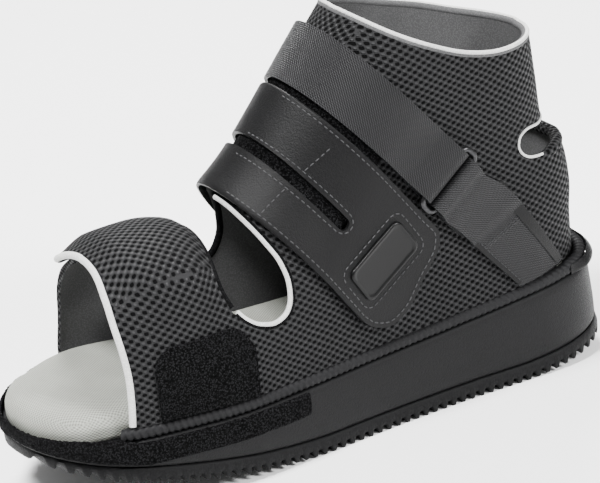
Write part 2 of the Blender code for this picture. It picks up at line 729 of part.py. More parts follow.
def make_bindings(group, white, dark):
    """Piping along the edges of the upper, in the middle of its wall."""
    middle = -WALL / 2
    half = PIPING / 2
    outer = from_middle(shifted(spots(TOE_EDGE_OUTER)[::-1], -half), 12)
    outer = outer[outer[:, 1] > upper_edge(outer[:, 0]) + CLEARANCE]
    flap = np.concatenate([spots(TOE_EDGE_INNER)[:-1], spots(FLAP_END)])
    inner = from_middle(shifted(flap, -half), 20)
    front = from_middle(shifted(spots(THROAT_FRONT), half), 10)[:-1]
    inner = inner[inner[:, 0] > front[-1, 0] + PIPING]
    toe = on_upper(*across(outer, inner), middle)
    tube("toe_binding", toe, PIPING, False, group, white)
    rear = on_upper(*across(front, front), middle)
    tube("band_rear_binding", rear, PIPING - 2 * CLEARANCE, False, group, dark)
    loops = [from_middle(shifted(spots(table)[::-1], -half), 17)[:-1]
             for table in (THROAT_LOOP, THROAT_LOOP_INNER)]
    tube("throat_binding", on_upper(*across(*loops), middle), PIPING, False, group, white)
    collar = [middle_to_middle(shifted(spots(table), half), 14) for table in (COLLAR, COLLAR_INNER)]
    tube("collar_binding", closed_path(*collar, middle), PIPING, True, group, white)
    slot = middle_to_middle(shifted(spots(HEEL_SLOT), -SLOT_PIPING / 2), 13)
    tube("slot_binding", closed_path(slot, slot, middle), SLOT_PIPING, True, group, white)


def closed_path(outer, inner, height):
    """A closed path round the upper from two lines between the same middle points."""
    side = np.ones(len(outer))
    side[0] = side[-1] = 0
    one = on_upper(side, outer[:, 0], outer[:, 1], height)
    other = on_upper(-side, inner[:, 0], inner[:, 1], height)
    one[[0, -1]] = (one[[0, -1]] + other[[0, -1]]) / 2
    return np.concatenate([one, other[-2:0:-1]])


def make_inner_flap(group, material):
    """The flap under the toe flap: sewn to the inner side, it reaches over the toes."""
    columns = 6
    steps = 12
    paths = []
    for t in np.linspace(0, 1, columns):
        line = spots(UNDER_REAR) * (1 - t) + spots(UNDER_FRONT) * t
        inner = from_middle(line, steps)
        limit = seat(inner[:, 0]) + UNDER_OUTER_END * PERCENT_HEIGHT
        end = np.interp(0, limit - inner[:, 1], 1 - np.cos(np.linspace(0, math.pi / 2, steps + 1)))
        outer = at_shares(trimmed(line), end * (1 - np.cos(np.linspace(0, math.pi / 2, 8))))
        paths.append(across(outer, inner))
    side, s, z = (np.stack([path[k] for path in paths]) for k in range(3))
    drop = np.where(side < 0, ease((z - upper_edge(s)) / (24 * MM)), 1.0)
    top = -(WALL + 5 * CLEARANCE) * drop
    outer_face = on_upper(side, s, z, top)
    inner_face = on_upper(side, s, z, top - WALL * 0.85)
    return slab("inner_toe_flap", outer_face, inner_face, group, material)


def make_hook_patch(group, material):
    """The fuzzy patch low on the outer side of the toe flap."""
    first, last = (share * PERCENT_LENGTH for share in PATCH_ENDS)
    t = round_stations(8)
    s = first + (last - first) * t
    top_line = spots(PATCH_TOP)[::-1]
    top = smooth(top_line[:, 0], top_line[:, 1], s)
    inset = np.clip(PATCH_CORNER - np.minimum(s - first, last - s), 0, None)
    top = top - (PATCH_CORNER - np.sqrt(PATCH_CORNER ** 2 - inset ** 2))
    low = upper_edge(s) + 0.6 * MM
    rows = np.linspace(0, 1, 5)[:, None]
    z = low + (top - low) * rows
    overlay("hook_patch", 1, np.broadcast_to(s, z.shape), z, CLEARANCE, PATCH_THICKNESS, group, material)


def make_heel_cup(group, material):
    """The smooth lip round the back of the heel, outside the welt."""
    stations = 6.5 / 100 * np.sin(np.linspace(-math.pi / 2, math.pi / 2, 17))
    stations[8] = 1e-9
    # Columns: share of the welt's height, and how far the lip stands out there.
    profile = ((0.0, 0.7), (0.25, 1.0), (0.5, 0.85), (0.75, 0.4))

    def layer(full):
        return np.stack([side_path(stations, 2 * CLEARANCE + out * HEEL_LIP * full,
                                   lambda s, up=up: seat(s) + CLEARANCE + up * WELT_HEIGHT)
                         for up, out in profile])

    slab("heel_cup", layer(1), layer(0), group, material)


OVER_PANEL = PANEL_THICKNESS + 3.5 * CLEARANCE


def under_strap(t):
    """Height of a strap's underside: over the loop panel first, then down on the mesh.

    Past the panel the hook tape under the tab fills the difference.
    """
    return OVER_PANEL + (CLEARANCE - OVER_PANEL) * ease((t - 0.58) / 0.2)


def make_loop_panel(group, material):
    """The loop fabric on the instep that the straps grip."""
    paths = []
    for t in np.linspace(0, 1, 5):
        line = from_middle(spots(PANEL_LOW) * (1 - t) + spots(PANEL_UP) * t, 9)
        paths.append(across(line, line))
    side, s, z = (np.stack([path[k] for path in paths]) for k in range(3))
    overlay("loop_panel", side, s, z, CLEARANCE, PANEL_THICKNESS, group, material)


def make_double_strap(group, cutters, material):
    """Two straps from the inner side that meet in one tab on the outer side."""
    starts = spots([row[:2] for row in TAB])
    ends = spots([row[2:] for row in TAB])
    steps = 10
    share = 1 - np.cos(np.linspace(0, math.pi / 2, steps + 1))
    side, s, z = [], [], []
    inner_ends = np.linspace(ends[0], ends[-1], len(ends)) + np.array([3.0, 6.0]) * MM
    for start, end, inner_end in zip(starts, ends, inner_ends):
        outer = at_shares(trimmed(np.array([start, (start + end) / 2, end])), share)
        inner = at_shares(trimmed(np.array([start, (start + inner_end) / 2, inner_end])), share)
        path = across(outer, inner)
        side.append(path[0])
        s.append(path[1])
        z.append(path[2])
    side, s, z = (np.array(v) for v in (side, s, z))
    under = under_strap(np.abs(np.concatenate([share[:0:-1], share])))
    outer_face = on_upper(side, s, z, OVER_PANEL + STRAP_THICKNESS)
    strap = slab("double_strap", outer_face, on_upper(side, s, z, under), group, material)
    tip, top = spots((STRAP_SLOT_END, STRAP_SLOT_TOP))
    way = (tip - top) / np.linalg.norm(tip - top)
    for name, end, x_from, x_to in (("cut_strap_slot", tip, -MM, BALL_WIDTH),
                                    ("cut_strap_split", tip + way * 60 * MM, -BALL_WIDTH, MM)):
        turn = np.linspace(-math.pi / 2, math.pi / 2, 9)[:, None]
        normal = np.array([-way[1], way[0]])
        nose = end + STRAP_SLOT / 2 * (np.cos(turn) * way + np.sin(turn) * normal - way)
        tail = np.array([top + STRAP_SLOT / 2 * normal, top - STRAP_SLOT / 2 * normal])
        cut(strap, prism(name, np.concatenate([nose, tail]), x_from, x_to, cutters))
    return strap


def make_badge(group, material):
    """A bare plate on the tab, where a maker would put a label."""
    centre = spots((BADGE_CENTRE,))[0]
    tilt = math.radians(BADGE_TILT)
    long_way = np.array([math.cos(tilt), math.sin(tilt)])
    short_way = np.array([-long_way[1], long_way[0]])
    corner = BADGE_WIDTH / 5
    a = (round_stations(8) - 0.5) * BADGE_LENGTH
    inset = np.clip(corner - (BADGE_LENGTH / 2 - np.abs(a)), 0, None)
    half = BADGE_WIDTH / 2 - corner + np.sqrt(corner ** 2 - inset ** 2)
    b = half * np.linspace(-1, 1, 5)[:, None]
    s = centre[0] + a * long_way[0] + b * short_way[0]
    z = centre[1] + a * long_way[1] + b * short_way[1]
    lift = OVER_PANEL + STRAP_THICKNESS + CLEARANCE
    overlay("badge_plate", 1, s, z, lift, BADGE_THICKNESS, group, material)


def ring_place():
    """The ring in the side view: its centre, the way down the strap and across it."""
    centre, low, up = spots((RING_CENTRE, STRAP_LOW[0], STRAP_UP[0]))
    way = centre - (low + up) / 2
    way /= np.linalg.norm(way)
    return centre, way, np.array([way[1], -way[0]])


def ring_frame():
    """Centre and axes of the ring: along it, along the strap and away from the upper."""
    centre, way, along = ring_place()
    middle = on_upper(1, centre[0], centre[1])
    ahead = on_upper(1, *(centre + along * 5 * MM)) - on_upper(1, *(centre - along * 5 * MM))
    out = on_upper(1, centre[0], centre[1], MM) - middle
    along_3d = ahead / np.linalg.norm(ahead)
    out = out / np.linalg.norm(out)
    cross = np.cross(out, along_3d)
    return middle, along_3d, cross / np.linalg.norm(cross), out


def bar_height():
    """Height of the ring's middle above the upper: a folded strap lies under its bar."""
    return 3 * CLEARANCE + STRAP_THICKNESS + RING_WIRE / 2


def make_ring(group, material):
    """The rectangular loop that joins ankle strap and anchor strap."""
    middle, along, cross, out = ring_frame()
    half_length = RING_LENGTH / 2 - RING_WIRE / 2
    half_width = RING_WIDTH / 2 - RING_WIRE / 2
    points = []
    for quarter, (sign_a, sign_b) in enumerate(((1, 1), (-1, 1), (-1, -1), (1, -1))):
        for turn in np.linspace(quarter, quarter + 1, 4) * math.pi / 2:
            a = sign_a * (half_length - RING_CORNER) + RING_CORNER * math.cos(turn)
            b = sign_b * (half_width - RING_CORNER) + RING_CORNER * math.sin(turn)
            points.append(middle + along * a + cross * b + out * bar_height())
    tube("ring_buckle", points, RING_WIRE, True, group, material)


def fold(start, length):
    """Centre line of webbing round a bar and back under itself.

    Columns are the way past the bar and the height over the upper.
    """
    radius = RING_WIRE / 2 + CLEARANCE + STRAP_THICKNESS / 2
    turns = np.linspace(math.pi / 2, -math.pi / 2, 6)
    centre = bar_height()
    round_bar = np.stack([radius * np.cos(turns), centre + radius * np.sin(turns)], axis=1)
    tail = np.array([(-length, centre - radius)])
    return np.concatenate([start, round_bar, tail])


def make_webbing(name, side, lines, heights, loop, way, group, material):
    """Flat webbing along a path, ending in a fold round a bar of the ring.

    Lines holds its two edges as grids of s and z. Heights are those of its centre line.
    Way is the direction in the side view in which it meets the bar.
    """
    flat = len(side)
    centre, down, normal = ring_place()
    middle, along, cross, out = ring_frame()
    if np.dot(on_upper(1, *(centre + down * MM)) - on_upper(1, *centre), cross) < 0:
        cross = -cross
    rows_outer, rows_inner = [], []
    for t in np.linspace(0, 1, 4):
        line = lines[0] * (1 - t) + lines[1] * t
        end = line[-1]
        run = np.cumsum(np.append(0, np.linalg.norm(np.diff(line, axis=0), axis=1)))
        u = np.concatenate([run[:-1] - run[-1], loop[:, 0]])
        h = np.concatenate([heights[:-1], loop[:, 1]])
        tangent = np.stack([np.gradient(u), np.gradient(h)], axis=1)
        tangent /= np.linalg.norm(tangent, axis=1)[:, None]
        for rows, sign in ((rows_outer, 1), (rows_inner, -1)):
            du = -tangent[:, 1] * sign * STRAP_THICKNESS / 2
            dh = tangent[:, 0] * sign * STRAP_THICKNESS / 2
            near = np.concatenate([line[:-1], end + way * loop[:, :1]])
            near = near + way * np.where(np.arange(len(u)) > flat - 6, du, 0)[:, None]
            sides = np.concatenate([side[:-1], np.ones(len(loop))])
            on_skin = on_upper(sides, near[:, 0], near[:, 1], h + dh)
            a, b = (near - centre) @ normal, (near - centre) @ down
            at_ring = middle + a[:, None] * along + b[:, None] * cross + (h + dh)[:, None] * out
            share = ease((u + 24 * MM) / (16 * MM))[:, None]
            rows.append(on_skin * (1 - share) + at_ring * share)
    slab(name, np.array(rows_outer), np.array(rows_inner), group, material)


def make_ankle_strap(group, material):
    """The webbing strap over the instep, from the inner side of the heel to the ring."""
    centre, way, normal = ring_place()
    bar = RING_WIDTH / 2 - RING_WIRE / 2
    lines, side = [], None
    half = RING_LENGTH / 2 - RING_WIRE - CLEARANCE * 3
    for edge, anchor, sign in ((STRAP_LOW, ANCHOR_LOW, -1), (STRAP_UP, ANCHOR_UP, 1)):
        points = spots(edge)
        points[-1] = centre - way * bar + normal * half * sign
        inner = np.concatenate([points[:-1], spots(anchor)[1:]])
        side, s, z = across(from_middle(points, 12), from_middle(inner, 12))
        lines.append(np.stack([s, z], axis=1))
    share = 1 - np.cos(np.linspace(0, math.pi / 2, 13))
    low = CLEARANCE + STRAP_THICKNESS / 2
    over_panel = low + PANEL_THICKNESS + 2.5 * CLEARANCE
    over_fold = low + STRAP_THICKNESS + 2 * CLEARANCE
    inner = over_panel + (low - over_panel) * ease((share - 0.45) / 0.2)
    outer = over_panel + (over_fold - over_panel) * ease((share - 0.45) / 0.2)
    heights = np.concatenate([inner[:0:-1], outer])
    top = bar_height() + RING_WIRE / 2 + CLEARANCE + STRAP_THICKNESS / 2
    rise = np.array([(-15 * MM, over_fold), (-10 * MM, over_fold + (top - over_fold) * 0.3),
                     (-5 * MM, over_fold + (top - over_fold) * 0.75)])
    keep = np.linalg.norm(lines[0] - lines[0][-1], axis=1) > 20 * MM
    keep[:len(inner)] = True
    keep[-1] = True
    lines = [line[keep] for line in lines]
    make_webbing("ankle_strap", side[keep], lines, heights[keep], fold(rise, 12 * MM), way, group, material)


def make_anchor_strap(group, material):
    """The webbing sewn low on the outer side of the heel, folded round the ring."""
    centre, strap, normal = ring_place()
    bar = RING_WIDTH / 2 - RING_WIRE / 2
    half = RING_LENGTH / 2 - RING_WIRE - CLEARANCE * 3
    lines = []
    for edge, sign in ((ANCHOR_LOW, -1), (ANCHOR_UP, 1)):
        points = spots(edge)
        points[0] = centre + strap * bar + normal * half * sign
        line = at_shares(dense(points), np.linspace(0, 1, 9))
        lines.append(line[::-1])
    top = bar_height() + RING_WIRE / 2 + CLEARANCE + STRAP_THICKNESS / 2
    low = CLEARANCE + STRAP_THICKNESS / 2
    over_fold = low + STRAP_THICKNESS + 2 * CLEARANCE
    heights = np.array([low, low, low, low, low, over_fold, over_fold, over_fold, over_fold])
    rise = np.array([(-10 * MM, over_fold), (-6.5 * MM, over_fold + (top - over_fold) * 0.35),
                     (-3 * MM, over_fold + (top - over_fold) * 0.85)])
    keep = np.linalg.norm(lines[0] - lines[0][-1], axis=1) > 13 * MM
    keep[-1] = True
    lines = [line[keep] for line in lines]
    make_webbing("anchor_strap", np.ones(keep.sum()), lines, heights[keep],
                 fold(rise, 20 * MM), -strap, group, material)


def main():
    for old in list(bpy.data.objects):
        bpy.data.objects.remove(old, do_unlink=True)
    shoe = collection("post_operative_shoe")
    cutters = collection("cutters")
    foam = finish("sole_foam", (0.030, 0.030, 0.032), 0.62)
    tread_rubber = finish("tread_rubber", (0.026, 0.026, 0.028), 0.66)
    mesh_fabric = finish("mesh_fabric", (0.022, 0.022, 0.024), 0.85)
    loop_fabric = finish("loop_fabric", (0.014, 0.014, 0.015), 0.95)
    leather = finish("synthetic_leather", (0.034, 0.034, 0.035), 0.55)
    webbing = finish("webbing", (0.045, 0.045, 0.048), 0.60)
    piping = finish("piping", (0.72, 0.72, 0.70), 0.80)
    dark_edge = finish("dark_edge", (0.020, 0.020, 0.021), 0.85)
    knit = finish("insole_knit", (0.50, 0.50, 0.47), 0.85)
    thread = finish("overlock_thread", (0.050, 0.050, 0.052), 0.80)
    plate = finish("badge_plastic", (0.050, 0.050, 0.052), 0.45)
    metal = finish("ring_metal", (0.12, 0.12, 0.13), 0.35, 0.9)

    make_outsole(shoe, tread_rubber)
    make_midsole(shoe, foam)
    make_toe_rand(shoe, loop_fabric)
    make_welt(shoe, thread)
    make_insole(shoe, knit)
    make_upper(shoe, cutters, mesh_fabric)
    make_inner_flap(shoe, mesh_fabric)
    make_bindings(shoe, piping, dark_edge)
    make_hook_patch(shoe, loop_fabric)
    make_heel_cup(shoe, foam)
    make_loop_panel(shoe, loop_fabric)
    make_double_strap(shoe, cutters, leather)
    make_badge(shoe, plate)
    make_ring(shoe, metal)
    make_ankle_strap(shoe, webbing)
    make_anchor_strap(shoe, webbing)


main()
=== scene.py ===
# %% [markdown]
# # A post operative shoe in Blender
# The shoe is a left one: a thick wedge sole, a mesh wrap that is open at the toe, three
# straps over the instep and a ring that joins the ankle strap to its anchor.
# The solids from the CAD stage give its sizes. Here each of them gets a finer skin of the
# same form, with seams, stitches, piping and cloth that the solids leave out.

# %% Tools and the CAD frame
import math

import bmesh
import bpy
import numpy as np
from mathutils import Matrix, Vector


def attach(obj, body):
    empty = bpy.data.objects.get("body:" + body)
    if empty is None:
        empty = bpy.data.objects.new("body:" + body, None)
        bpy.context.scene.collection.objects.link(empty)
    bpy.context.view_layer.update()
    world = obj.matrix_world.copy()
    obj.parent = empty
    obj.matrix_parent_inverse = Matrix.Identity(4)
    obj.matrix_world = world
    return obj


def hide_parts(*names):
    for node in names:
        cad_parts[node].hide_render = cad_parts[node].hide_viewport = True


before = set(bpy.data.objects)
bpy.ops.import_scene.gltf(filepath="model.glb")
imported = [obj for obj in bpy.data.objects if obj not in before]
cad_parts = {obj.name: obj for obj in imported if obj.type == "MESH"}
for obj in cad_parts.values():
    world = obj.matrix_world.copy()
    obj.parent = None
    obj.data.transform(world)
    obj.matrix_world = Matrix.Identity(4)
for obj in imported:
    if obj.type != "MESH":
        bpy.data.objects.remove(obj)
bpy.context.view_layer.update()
MM = 0.001

# %% [markdown]
# ## Camera
# The photograph was taken with a long lens, from the outer side and in front, and tilted a little. A camera placed by
# azimuth, elevation and distance and then rolled gives the same picture. Lens shift would do it too, but here the
# camera is turned.

# %% Camera
AZIMUTH, ELEVATION, ROLL = (math.radians(a) for a in (62.35, 21.87, -5.99))
DISTANCE = 1.85638
LENS = 252.1
AIM = Vector((0.0006, -0.0064, 0.060))
TURN_RIGHT, TURN_UP = 0.00392, 0.01185

back = Vector((math.sin(AZIMUTH) * math.cos(ELEVATION), -math.cos(AZIMUTH) * math.cos(ELEVATION),
               math.sin(ELEVATION)))
right = (-back).cross(Vector((0, 0, 1))).normalized()
up = right.cross(-back)
tilted_right = math.cos(ROLL) * right + math.sin(ROLL) * up
tilted_up = math.cos(ROLL) * up - math.sin(ROLL) * right
look = (-back + TURN_RIGHT * tilted_right + TURN_UP * tilted_up).normalized()
side_axis = look.cross(tilted_up).normalized()
top_axis = side_axis.cross(look)
camera = bpy.data.objects.new("camera", bpy.data.cameras.new("camera"))
camera.data.lens = LENS
camera.data.sensor_width = 36
camera.data.clip_end = 20
turned = Matrix((side_axis, top_axis, -look)).transposed().to_4x4()
camera.matrix_world = Matrix.Translation(AIM + back * DISTANCE) @ turned
bpy.context.scene.collection.objects.link(camera)
bpy.context.scene.camera = camera
print("camera at", [round(v, 3) for v in camera.matrix_world.translation])

# %% [markdown]
# ## Sizes and outlines
# A shoe has few flat faces, so its form is kept in tables: the sole's half widths, the
# crest of the upper in the side view, and the edges of each part as percents of length and
# height. They are the same sizes as in the CAD source, so the skins lie where the solids are.

# %% Sizes of sole, upper and straps
# Sole
SOLE_LENGTH = 288.0 * MM
BALL_WIDTH = 101.0 * MM
HEEL_HEIGHT = 44.5 * MM
WAIST_HEIGHT = 35.0 * MM
BALL_HEIGHT = 32.0 * MM
TOE_HEIGHT = 34.5 * MM
TOE_SPRING = 25.5 * MM
HEEL_BEVEL = 7.5 * MM
HEEL_FLARE = 2.6 * MM
TREAD_THICKNESS = 8.0 * MM
TOE_TREAD_THICKNESS = 4.6 * MM
RIDGE_PITCH = 5.05 * MM
RIDGE_DEPTH = 3.0 * MM
RIDGE_TIP = 1.8 * MM
RAND_THICKNESS = 1.5 * MM
WELT_WIDTH = 5.6 * MM
WELT_HEIGHT = 5.0 * MM
INSOLE_HEIGHT = 13.0 * MM

# Upper
UPPER_HEIGHT = 150.0 * MM
ANKLE_WIDTH = 72.0 * MM
WALL = 3.0 * MM
UPPER_INSET = 2.0 * MM
HEEL_DEPTH = 44.0 * MM
PIPING = 4.0 * MM
SLOT_PIPING = 2.4 * MM
HEEL_LIP = 2.1 * MM

# Fastening
PATCH_THICKNESS = 1.5 * MM
PANEL_THICKNESS = 1.3 * MM
STRAP_THICKNESS = 1.8 * MM
STRAP_SLOT = 5.8 * MM
BADGE_LENGTH = 34.0 * MM
BADGE_WIDTH = 18.0 * MM
BADGE_THICKNESS = 1.3 * MM
RING_LENGTH = 35.0 * MM
RING_WIDTH = 11.0 * MM
RING_WIRE = 3.0 * MM
RING_CORNER = 3.0 * MM

CLEARANCE = 0.3 * MM

# %% Outlines of sole and upper
# Half widths of the sole. Columns: percent of the length from the heel, then the outer
# and inner half widths in percent of the ball width.
PLAN = (
    (0, 41.6, 41.6), (12.4, 38.1, 38.1), (26, 38.1, 36.6), (41.5, 40.6, 38.1), (57, 45.5, 42.6),
    (70, 49.5, 48.5), (82, 50.3, 51.5), (91, 50.0, 48.0), (100, 48.0, 37.0),
)
HEEL_ROUND = 14.5      # percent of the length that the heel's curve takes
TOE_ROUND = 19.5
HEEL_POWER = 2.2
TOE_POWER = 2.35
ROLL_POWER = 1.6       # how the tread lifts off the floor
HEEL_ROLL = 19.0       # percent of the length where the heel's lift starts
TOE_ROLL = 53.6

# Top of the sole: percent of the length, and which named height it has there.
SEAT = ((0, HEEL_HEIGHT), (34, WAIST_HEIGHT), (68, BALL_HEIGHT), (87, TOE_HEIGHT), (100, TOE_HEIGHT))

# Side view of the upper. Columns: percent of the sole's length from the heel, then the
# height above the sole in percent of the upper's height.
CREST = (
    (93.8, 38.5), (87.5, 43.8), (85.8, 45.0), (80.6, 49.9), (74.0, 51.4), (69.4, 50.2),
    (66.7, 46.6), (62.8, 53.0), (57.6, 61.5), (52.5, 72.0), (46.2, 85.6), (39.8, 99.0),
    (34.0, 110.7),
)
BACK = (
    (1.8, 3.7), (1.7, 14.4), (1.2, 23.7), (1.5, 31.7), (2.3, 37.5), (4.4, 43.0), (5.4, 48.0),
    (5.7, 58.2), (6.2, 71.8), (6.7, 82.7),
)
# How far below the crest the arch of the upper reaches its full width. Columns: percent
# of the length, then the outer and inner side in percent of the ball width.
ARCH = ((34.2, 42, 42), (51.8, 44, 44), (62.2, 48, 44), (74.6, 50, 43), (90.2, 52, 42))
ANKLE_NARROWS = (17, 63)        # percent of the upper's height where it narrows
ANKLE_FRONT = (51.8, 72.6)      # percent of the length where the narrowing ends

# Section lines of the upper fan out from the crest. Columns: percent along the crest,
# then percent of the length along the sole, or of the height up the heel.
FAN_SOLE = (
    (0, 93.3), (8, 87.1), (17, 79.8), (26, 72.6), (34, 65.3), (42, 53.9), (50, 41.5), (58, 29), (64, 19.7),
    (69, 12.4), (73, 7.3), (76, 4.1), (78.5, 2.5),
)
FAN_HEEL = ((81, 8), (84, 16), (87, 24), (90, 31), (92, 37), (94, 43), (96, 50), (98, 62), (100, 80))

# %% Edges and overlays
# Edges and overlays in the side view, as percent of length and of the upper's height.
TOE_EDGE_OUTER = (
    (88.6, -4.7), (88.3, 3.3), (88.0, 10), (87.6, 20), (87.5, 31), (86.9, 39), (85.9, 45), (85.0, 52),
)
TOE_EDGE_INNER = ((85.0, 52), (85.7, 46), (85.8, 42), (85.2, 39.2))
FLAP_END = ((85.2, 39.2), (84.0, 37.6), (80.0, 36), (73.0, 36), (66.3, 36))
THROAT_FRONT = ((65.4, 62), (66.1, 50), (67.4, 43), (68.2, 36), (67.6, 30.5))
THROAT_LOOP = (
    (67.6, 30.5), (66.2, 27.2), (64.4, 24.9), (62.2, 23.9), (60.3, 25.0), (59.0, 28.8),
    (58.7, 33.4), (59.1, 38.3), (60.3, 44.0), (62.2, 52), (64.0, 61.3),
)
THROAT_LOOP_INNER = (
    (67.6, 30.5), (66.2, 27.2), (64.2, 24.9), (61.2, 23.9), (58.4, 25.2), (56.6, 28.8),
    (56.0, 33.4), (56.3, 38.3), (57.6, 44.5), (60.6, 53), (64.0, 63.0),
)
COLLAR = (
    (42.5, 106), (38.9, 100.4), (34, 93.6), (28.5, 87.4), (22.9, 82.0), (17, 78.4),
    (10.5, 76.0), (5.2, 74.6), (-3.1, 73.5),
)
COLLAR_INNER = (
    (42.5, 106), (38.9, 100.7), (34, 96.0), (28.5, 91.4), (22.9, 86.8), (17, 82.4),
    (10.5, 77.4), (5.2, 74.8), (-3.1, 73.5),
)
HEEL_SLOT = (
    (-3.1, 39.4), (4.1, 39.6), (9.0, 40.2), (12.4, 41.6), (14.2, 43.6), (14.8, 46.0), (14.2, 48.2),
    (12.5, 48.8), (9.3, 47.2), (4.6, 45.6), (-3.1, 44.4),
)
FLAP_SEAM = 65.8                # percent of the length where the inner flap is sewn on
UNDER_FRONT = ((84.4, 55), (84.5, 42), (84.0, 33), (83.4, 20), (83.2, 4.2))
UNDER_REAR = ((69.6, 58), (70.8, 44), (71.6, 32), (68.5, 18), (66.3, 4.2))
UNDER_OUTER_END = 32            # percent of the height where it ends on the outer side
PATCH_ENDS = (66.5, 83.3)
PATCH_TOP = ((83.3, 24.5), (75, 26.0), (69.4, 25.8), (66.5, 24.0))
PATCH_CORNER = 10.0 * MM
PANEL_LOW = ((61.7, 66), (59.1, 54), (54.3, 42), (52.3, 36))
PANEL_UP = ((45.6, 99), (42.5, 87), (39.4, 76), (35.8, 67))
STRAP_LOW = ((50.8, 88), (41.7, 64.0), (32.5, 43.0))
STRAP_UP = ((44, 100), (35.4, 77.0), (25.4, 56.0))
ANCHOR_LOW = ((32.5, 41.5), (25, 22.1), (17.8, 4.6))
ANCHOR_UP = ((24.6, 55.0), (17.4, 33.0), (8.9, 5.4))
RING_CENTRE = (29.4, 46.8)
BADGE_CENTRE = (42.5, 30.2)
BADGE_TILT = -32.0              # degrees of its long side in the side view
STRAP_SLOT_END = (47.8, 43.5)
STRAP_SLOT_TOP = (60.4, 79.5)
# Double strap, from its front edge to its rear edge: where each line starts above the
# crest, then where it ends on the tab.
TAB = (
    (64.2, 61.5, 47.6, 15.1), (61.6, 64.0, 45.5, 11.5), (58.7, 68.0, 42.4, 9.8),
    (55.3, 73.0, 39.1, 12.4), (53.5, 76.0, 35.7, 20.0), (51.6, 79.5, 32.3, 27.6),
    (50.8, 81.0, 31.9, 32.0), (50.0, 82.5, 34.2, 38.6),
)

# %% [markdown]
# ## Curves between the table's points
# A table has few points. A monotone cubic curve goes through them without swinging, which
# keeps the outline of the last fair. A spline object could do the same, but a function also
# gives its value at any place, which the surface of the upper needs.

# %% Smooth curves
def smooth(xs, ys, x):
    """Value at x of a curve through the points, with no swing between them."""
    xs = np.asarray(xs, float)
    ys = np.asarray(ys, float)
    x = np.clip(np.asarray(x, float), xs[0], xs[-1])
    step = np.diff(xs)
    rise = np.diff(ys) / step
    slope = np.zeros_like(ys)
    slope[0], slope[-1] = rise[0], rise[-1]
    for i in range(1, len(xs) - 1):
        if rise[i - 1] * rise[i] > 0:
            before = 2 * step[i] + step[i - 1]
            after = step[i] + 2 * step[i - 1]
            slope[i] = (before + after) / (before / rise[i - 1] + after / rise[i])
    k = np.clip(np.searchsorted(xs, x, side="right") - 1, 0, len(step) - 1)
    t = (x - xs[k]) / step[k]
    bend = t * (1 - t) ** 2 * slope[k] - t * t * (1 - t) * slope[k + 1]
    return (1 + 2 * t) * (1 - t) ** 2 * ys[k] + t * t * (3 - 2 * t) * ys[k + 1] + step[k] * bend


def ease(t):
    t = np.clip(t, 0, 1)
    return t * t * (3 - 2 * t)


def column(table, index, unit=1.0):
    return np.array([row[index] for row in table], float) * unit


PERCENT_LENGTH = SOLE_LENGTH / 100
PERCENT_WIDTH = BALL_WIDTH / 100
PERCENT_HEIGHT = UPPER_HEIGHT / 100
HEEL_Y = (SOLE_LENGTH + CLEARANCE + RAND_THICKNESS - HEEL_FLARE) / 2
MIDDLE_X = 0.6 * MM    # the inner side is a little wider, so the last's middle lies here


def place(x, s, z):
    """Point of the model from the side view's s and z and the distance x outward."""
    x, s, z = np.broadcast_arrays(x, s, z)
    return np.stack([x + MIDDLE_X, HEEL_Y - s, z], axis=-1)

# %% [markdown]
# ## The form of the sole
# Seen from the side a sole is four curves: the seat of the foot, the joint of wedge and
# tread, the tread itself and, from above, its outline. Each is a function of the way s from
# the back of the heel.

# %% The sole's curves
def seat(s):
    """Height of the top of the sole."""
    return smooth(column(SEAT, 0, PERCENT_LENGTH), column(SEAT, 1), s)


def upper_edge(s):
    """Height of the upper's lower edge, which stands on the welt."""
    return seat(s) + WELT_HEIGHT + 2 * CLEARANCE


def tread(s):
    """Height of the ridges' tips: flat in the middle, rolling up at heel and toe."""
    heel = HEEL_ROLL * PERCENT_LENGTH
    toe = TOE_ROLL * PERCENT_LENGTH
    heel_lift = HEEL_BEVEL * np.clip((heel - s) / heel, 0, None) ** ROLL_POWER
    toe_lift = TOE_SPRING * np.clip((s - toe) / (SOLE_LENGTH - toe), 0, None) ** ROLL_POWER
    return heel_lift + toe_lift


def parting(s):
    """Height of the joint between outsole and midsole."""
    ends = (0, 80 * PERCENT_LENGTH, SOLE_LENGTH)
    return tread(s) + smooth(ends, (TREAD_THICKNESS, TREAD_THICKNESS, TOE_TREAD_THICKNESS), s)


def half_plan(s, side):
    """Half width of the sole without the round of heel and toe."""
    return smooth(column(PLAN, 0, PERCENT_LENGTH), column(PLAN, 1 if side > 0 else 2, PERCENT_WIDTH), s)


def end_round(s, reach, power):
    """From 0 at the tip to 1 where the round end of the outline stops."""
    return (1 - (1 - np.clip(s / reach, 0, 1)) ** power) ** (1 / power)


def outline(s, side, heel_in, toe_in, side_in):
    """Half width at s of the sole's outline, moved inward by the three distances."""
    full = (s - heel_in) / (SOLE_LENGTH - heel_in - toe_in) * SOLE_LENGTH
    heel = end_round(full, HEEL_ROUND * PERCENT_LENGTH, HEEL_POWER)
    toe = end_round(SOLE_LENGTH - full, TOE_ROUND * PERCENT_LENGTH, TOE_POWER)
    return (half_plan(full, side) - side_in) * np.minimum(heel, toe)


def ring(stations, height, heel_in=0.0, toe_in=0.0, side_in=0.0):
    """Closed ring round the sole: out along the outer side, back along the inner one.

    Stations run from 0 at the heel to 1 at the toe.
    """
    s = heel_in + stations * (SOLE_LENGTH - heel_in - toe_in)
    outer = place(outline(s, 1, heel_in, toe_in, side_in), s, height(s))
    inner = place(-outline(s, -1, heel_in, toe_in, side_in), s, height(s))
    return np.concatenate([outer, inner[-2:0:-1]])


def round_stations(count):
    """Stations that lie closer together at the two round ends."""
    return (1 - np.cos(np.linspace(0, math.pi, count + 1))) / 2


